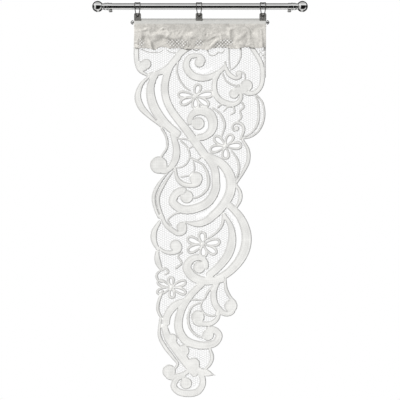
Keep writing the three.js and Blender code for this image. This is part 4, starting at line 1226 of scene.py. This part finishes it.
shapes = bands + petals
owners = [np.full(len(shape["half"]), i) for i, shape in enumerate(shapes)]
owners = np.concatenate([*owners, len(shapes) + np.arange(len(discs))])
centres = np.concatenate([shape["points"] for shape in shapes] + [[row["centre"] for row in discs]])
halves = np.concatenate([shape["half"] for shape in shapes] + [[row["radius"] for row in discs]])


def depth_in_bands(points, ignored=None):
    """How deep points lie inside the bands and discs, but for an ignored one. Negative is outside."""
    use = np.ones(len(owners), bool) if ignored is None else owners != ignored
    depth = np.empty(len(points))
    for start in range(0, len(points), AT_ONCE):
        part = slice(start, start + AT_ONCE)
        apart = np.linalg.norm(points[part, None] - centres[None, use], axis=-1)
        depth[part] = (halves[use] - apart).max(axis=1)
    return depth


def exposure(points, index):
    """1 for an edge of a band that shows, 0 for one inside another band."""
    return 1 - smooth_step((depth_in_bands(points, index) - EXPOSED) / (COVERED - EXPOSED))


print(len(centres), "stations and discs to measure against")

# %% [markdown]
# ## Tapes
# Across a tape the cloth is a low dome between two raised cords. Each station gets the points of that
# section, and the sections are joined into a closed band. Cord faces take the second material.

# %% Section of a tape
CORD_WIDTH = 3.4
CORD_SHARE = 0.8
CORD_HEIGHT = 2.6
CORD_FACES = 3
FLANK_WIDTH = 0.20
FLANK_HEIGHT = 0.72
CREST_AT = 0.64
SLOPE_AT = 0.5
FOOT_SHARE = 0.88
DISH_SHARE = 0.86
MIDDLE_SHARE = 1.05
NARROW = 2.5
WIDE = 6.5
NARROW_SHARE = 0.6


def section_of(half, left, right, relief):
    """Distances across and heights of a tape's section at every station. Narrow tapes stand less high."""
    cord = np.minimum(CORD_WIDTH, CORD_SHARE * half)
    wide = np.clip((half - NARROW) / (WIDE - NARROW), 0, 1)
    full = CORD_HEIGHT * relief * (NARROW_SHARE + (1 - NARROW_SHARE) * wide)
    foot, dish, middle = FOOT_SHARE * full, DISH_SHARE * full, MIDDLE_SHARE * full
    inside = half - cord
    edge = [half, half - FLANK_WIDTH * cord, half - CREST_AT * cord, inside, SLOPE_AT * inside]
    flat = np.zeros_like(half)
    across = edge + [flat] + [-distance for distance in reversed(edge)]

    def side(shown):
        rim, toe = dish + shown * (full - dish), dish + shown * (foot - dish)
        return [flat, FLANK_HEIGHT * rim, rim, toe, (dish + middle) / 2]

    height = side(left) + [middle] + side(right)[::-1]
    return np.stack(across, axis=-1), np.stack(height, axis=-1)


# %% Tapes
LACE_BACK = 3.8
PETAL_SHARE = 0.75
LIFT = 0.6
LIFT_STEP = 0.618

lace_points, lace_faces, lace_uv, lace_cords = [], [], [], []


def add_to_lace(place, height, uv, index):
    """Adds a grid of places, across and up, with heights and UV. Each shape lies at a height of its own."""
    depth = LACE_BACK - LIFT * (index * LIFT_STEP % 1) - height
    lace_points.extend(np.stack([place[..., 0], depth, place[..., 1]], axis=-1).reshape(-1, 3).tolist())
    lace_uv.extend(uv.reshape(-1, 2).tolist())


def add_band(shape, index):
    points, normal, half = shape["points"], shape["normal"], shape["half"]
    closed = shape.get("closed", False)
    left = exposure(points + normal * half[:, None], index)
    right = exposure(points - normal * half[:, None], index)
    across, height = section_of(half, left, right, PETAL_SHARE if closed else 1.0)
    count, width = across.shape
    first = len(lace_points)
    along = np.repeat(shape["along"][:, None], width, axis=1)
    place = points[:, None] + normal[:, None] * across[..., None]
    add_to_lace(place, height, np.stack([along, across], axis=-1), index)
    faces = grid_faces(count, width, first, closed, True)
    row, column = np.divmod(np.arange(len(faces)), width)
    on_left = column < CORD_FACES
    on_right = (column >= width - 1 - CORD_FACES) & (column < width - 1)
    is_cord = (on_left & (left[row] > 0.5)) | (on_right & (right[row] > 0.5))
    if not closed:
        last = first + (count - 1) * width
        faces += [list(range(end, end + width)) for end in (first, last)]
        is_cord = np.append(is_cord, [True, True])
    lace_faces.extend(faces)
    lace_cords.extend(is_cord.tolist())


for index, shape in enumerate(shapes):
    add_band(shape, index)
print("bands:", len(lace_points), "points,", len(lace_faces), "faces")

# %% [markdown]
# Discs are domed, with the same cord round them.

# %% Discs
DISC_SIDES = 40
DISC_CORD_SHARE = 0.5
DISC_CROWN = 2.8
DISC_SHOULDER = 2.5
CROWN_AT = 0.02

angle = np.linspace(0, FULL_TURN, DISC_SIDES, endpoint=False)
out = np.stack([np.cos(angle), np.sin(angle)], axis=-1)
dish = DISH_SHARE * CORD_HEIGHT
for index, row in enumerate(discs, len(shapes)):
    centre, radius = row["centre"], row["radius"]
    cord = min(CORD_WIDTH, DISC_CORD_SHARE * radius)
    shown = exposure(centre + radius * out, index)
    rim = dish + shown * (CORD_HEIGHT - dish)
    rings = [
        (radius, 0), (radius - FLANK_WIDTH * cord, FLANK_HEIGHT * rim), (radius - CREST_AT * cord, rim),
        (radius - cord, dish), (SLOPE_AT * (radius - cord), DISC_SHOULDER), (CROWN_AT * radius, DISC_CROWN),
    ]
    first = len(lace_points)
    for reach, height in rings:
        add_to_lace(centre + reach * out, height + 0 * shown, reach * out, index)
    faces = grid_faces(len(rings), DISC_SIDES, first, False, True)
    ring, step = np.divmod(np.arange(len(faces)), DISC_SIDES)
    is_cord = (ring < CORD_FACES) & (shown[step] > 0.5)
    last = first + (len(rings) - 1) * DISC_SIDES
    faces += [list(range(end, end + DISC_SIDES)) for end in (first, last)]
    lace_faces.extend(faces)
    lace_cords.extend(is_cord.tolist() + [False, False])

mesh = new_mesh("lace_tapes", np.array(lace_points) * MM, lace_faces)
set_uv(mesh, np.array(lace_uv) * MM)
mesh.polygons.foreach_set("material_index", np.array(lace_cords, np.int32))
face_outwards(mesh)
lace_tapes = new_piece("lace_tapes", mesh, [tape_cloth, cord_cloth], "lace_panel", sharp=75)
print("tapes and discs:", len(lace_points), "points,", len(lace_faces), "faces")

# %% [markdown]
# ## Which places have net
# Net fills all that the border tapes go round, but for the bare gaps and the holes of the petals. The
# outside is found as water would find it: a grid of small cells is flooded from its rim, and the tapes hold
# the water back.

# %% Flood from outside
CELL = 1.5
MARGIN = 4

low = np.floor((centres - halves[:, None]).min(axis=0) / CELL).astype(int) - MARGIN
high = np.ceil((centres + halves[:, None]).max(axis=0) / CELL).astype(int) + MARGIN
wall = np.zeros(high - low, bool)
for centre, half in zip(centres, halves):
    start = np.floor((centre - half) / CELL).astype(int) - low
    end = np.ceil((centre + half) / CELL).astype(int) - low + 1
    ranges = [np.arange(*pair) for pair in zip(start, end)]
    cells = np.stack(np.meshgrid(*ranges, indexing="ij"), axis=-1)
    apart = np.linalg.norm((cells + low) * CELL - centre, axis=-1)
    wall[start[0]:end[0], start[1]:end[1]] |= apart < half
outside = np.zeros_like(wall)
outside[[0, -1]] = True
outside[:, [0, -1]] = True
reached = 0
while outside.sum() > reached:
    reached = outside.sum()
    spread = [np.roll(outside, step, axis) for axis in (0, 1) for step in (1, -1)]
    outside = (outside | np.any(spread, axis=0)) & ~wall
print(reached, "of", wall.size, "cells flooded")

# %% Bare places
BARE_INSET = 0.5


def is_bare(points):
    """True in the bare gaps and in the holes of the petals."""
    bare = np.zeros(len(points), bool)
    for gap in gaps:
        apart = np.linalg.norm(points[:, None] - gap["points"][None], axis=-1)
        bare |= (apart - gap["half"]).min(axis=1) < 0
    inset = BARE_INSET * PETAL_RIM * COUNT
    for flower in FLOWERS:
        for degrees in flower["petals"]:
            centre, out, aside, half_length, half_width = petal_frame(flower, degrees)
            along = (points - centre) @ out / (half_length - inset)
            across = (points - centre) @ aside / (half_width - inset)
            bare |= np.hypot(along, across) < 1
    return bare


open_cells = (np.argwhere(~outside & ~wall) + low) * CELL
cloth_cells = (~outside).sum() - is_bare(open_cells).sum()

# %% [markdown]
# ## Net
# The ground is a machine net of six-sided meshes. Every knot is a small triangle and every thread a narrow
# quad between two knots, so the whole net is one flat mesh, and a Solidify modifier makes its threads
# thick. Knots come in two sorts: one with a thread going right and one with a thread going left. Their
# places are kept as up and across, and turned round where the cloth is asked about them.

# %% Threads of the net
MESH_PITCH = 7.2
COLUMN_PITCH = 7.0
SIDES_TO_COLUMN = 1.5
TUCK = 3.0

mesh_side = COLUMN_PITCH / SIDES_TO_COLUMN
upward = np.arange(low[1] * CELL, high[1] * CELL, MESH_PITCH / 2)
across = np.arange(low[0] * CELL, high[0] * CELL, COLUMN_PITCH)
row, column = np.meshgrid(np.arange(len(upward)), np.arange(len(across)), indexing="ij")
on_grid = (column + row) % 2 == 0
knots_right = np.stack([upward[row[on_grid]], across[column[on_grid]] + mesh_side / 2], axis=-1)
ways = np.array([(0, mesh_side), (MESH_PITCH / 2, -mesh_side / 2), (-MESH_PITCH / 2, -mesh_side / 2)])
starts = np.repeat(knots_right, len(ways), axis=0)
threads = np.stack([starts, (knots_right[:, None] + ways).reshape(-1, 2)], axis=1)
kinds = np.tile(np.arange(len(ways)), len(knots_right))


def is_inside(points):
    """True for places, across and up, that the flood did not reach."""
    cell = np.clip(np.round(points / CELL).astype(int) - low, 0, np.array(wall.shape) - 1)
    return ~outside[cell[:, 0], cell[:, 1]]


def has_net(points):
    """True where the net shows or is tucked under the edge of a tape."""
    return is_inside(points) & (depth_in_bands(points) < TUCK) & ~is_bare(points)


def is_held(points):
    """True inside the border where a thread's end meets net or lies behind a tape."""
    return is_inside(points) & (~is_bare(points) | (depth_in_bands(points) > 0))


kept = has_net(threads.mean(axis=1)[:, ::-1])
threads, kinds = threads[kept], kinds[kept]
held = is_held(threads[:, 0, ::-1]) & is_held(threads[:, 1, ::-1])
threads, kinds = threads[held], kinds[held]
print("net:", len(threads), "threads")

# %% [markdown]
# Each thread's quad takes two corners of the knot at its start and two of the knot at its end. A corner
# lies between two threads, and neighbours share it, so it is made once and found again by its name.

# %% Net
THREAD = 0.9
NET_DEPTH = 3.3
NET_THICKNESS = 0.6
# degrees: the way of each kind of thread, its two corners at its start, and all corners of both knots
THREAD_WAYS = (90, 330, 210)
START_CORNERS = ((30, 150), (270, 30), (150, 270))
KNOT_CORNERS = ((30, 150, 270), (90, 210, 330))

corner_reach = THREAD / math.sqrt(3)
net_points, net_faces, corner_index, knots = [], [], {}, {}


def knot_name(knot):
    return round(knot[0], 2), round(knot[1], 2)


def knot_corner(knot, degrees):
    """Index of a knot's corner between two threads, made when first asked for."""
    name = (*knot_name(knot), degrees % 360)
    if name not in corner_index:
        corner_index[name] = len(net_points)
        angle = math.radians(degrees)
        upward, across = knot + corner_reach * np.array((math.cos(angle), math.sin(angle)))
        net_points.append((across, NET_DEPTH, upward))
    return corner_index[name]


for (start, end), kind in zip(threads, kinds):
    one, two = START_CORNERS[kind]
    mirror = 2 * THREAD_WAYS[kind] + 180
    corners = [(start, one), (start, two), (end, mirror - two), (end, mirror - one)]
    net_faces.append([knot_corner(knot, degrees) for knot, degrees in corners])
    for knot, degrees in zip((start, end), KNOT_CORNERS):
        knots[knot_name(knot)] = (knot, degrees)
for knot, corners in knots.values():
    net_faces.append([knot_corner(knot, degrees) for degrees in corners])
net_points = np.array(net_points) * MM
mesh = new_mesh("lace_net", net_points, net_faces)
set_uv(mesh, net_points[:, [0, 2]])
face_outwards(mesh)
lace_net = new_piece("lace_net", mesh, [net_thread], "lace_panel", sharp=40)
thicken(lace_net, "threads", NET_THICKNESS)
print("net:", len(knots), "knots,", len(net_faces), "faces")

# %% [markdown]
# ## The panel
# Tapes and net are one cloth that hangs from the heading. Its flat size is its size as it hangs, because a
# net curtain of this kind hangs flat.

# %% [markdown]
# ## Floor
# A round pale floor lies well below the curtain's tip, as under a window, out of the picture from the
# front. From above it shows where the light comes from.

# %% Floor
FLOOR_RADIUS = 0.9
FLOOR_HEIGHT = -2.1
FLOOR_SIDES = 96
FLOOR_COLOR = (0.9, 0.9, 0.89, 1)

floor_paint = new_uneven("floor_paint", FLOOR_COLOR, darkest=0.97, scale=4.0, Roughness=0.9)[0]
angles = np.linspace(0, FULL_TURN, FLOOR_SIDES, endpoint=False)
rim = [(FLOOR_RADIUS * math.cos(a), FLOOR_RADIUS * math.sin(a), FLOOR_HEIGHT) for a in angles]
mesh = new_mesh("floor", rim, [range(len(rim))])
mesh.materials.append(floor_paint)
floor = bpy.data.objects.new("floor", mesh)
scene.collection.objects.link(floor)
print("floor at", FLOOR_HEIGHT, "m")
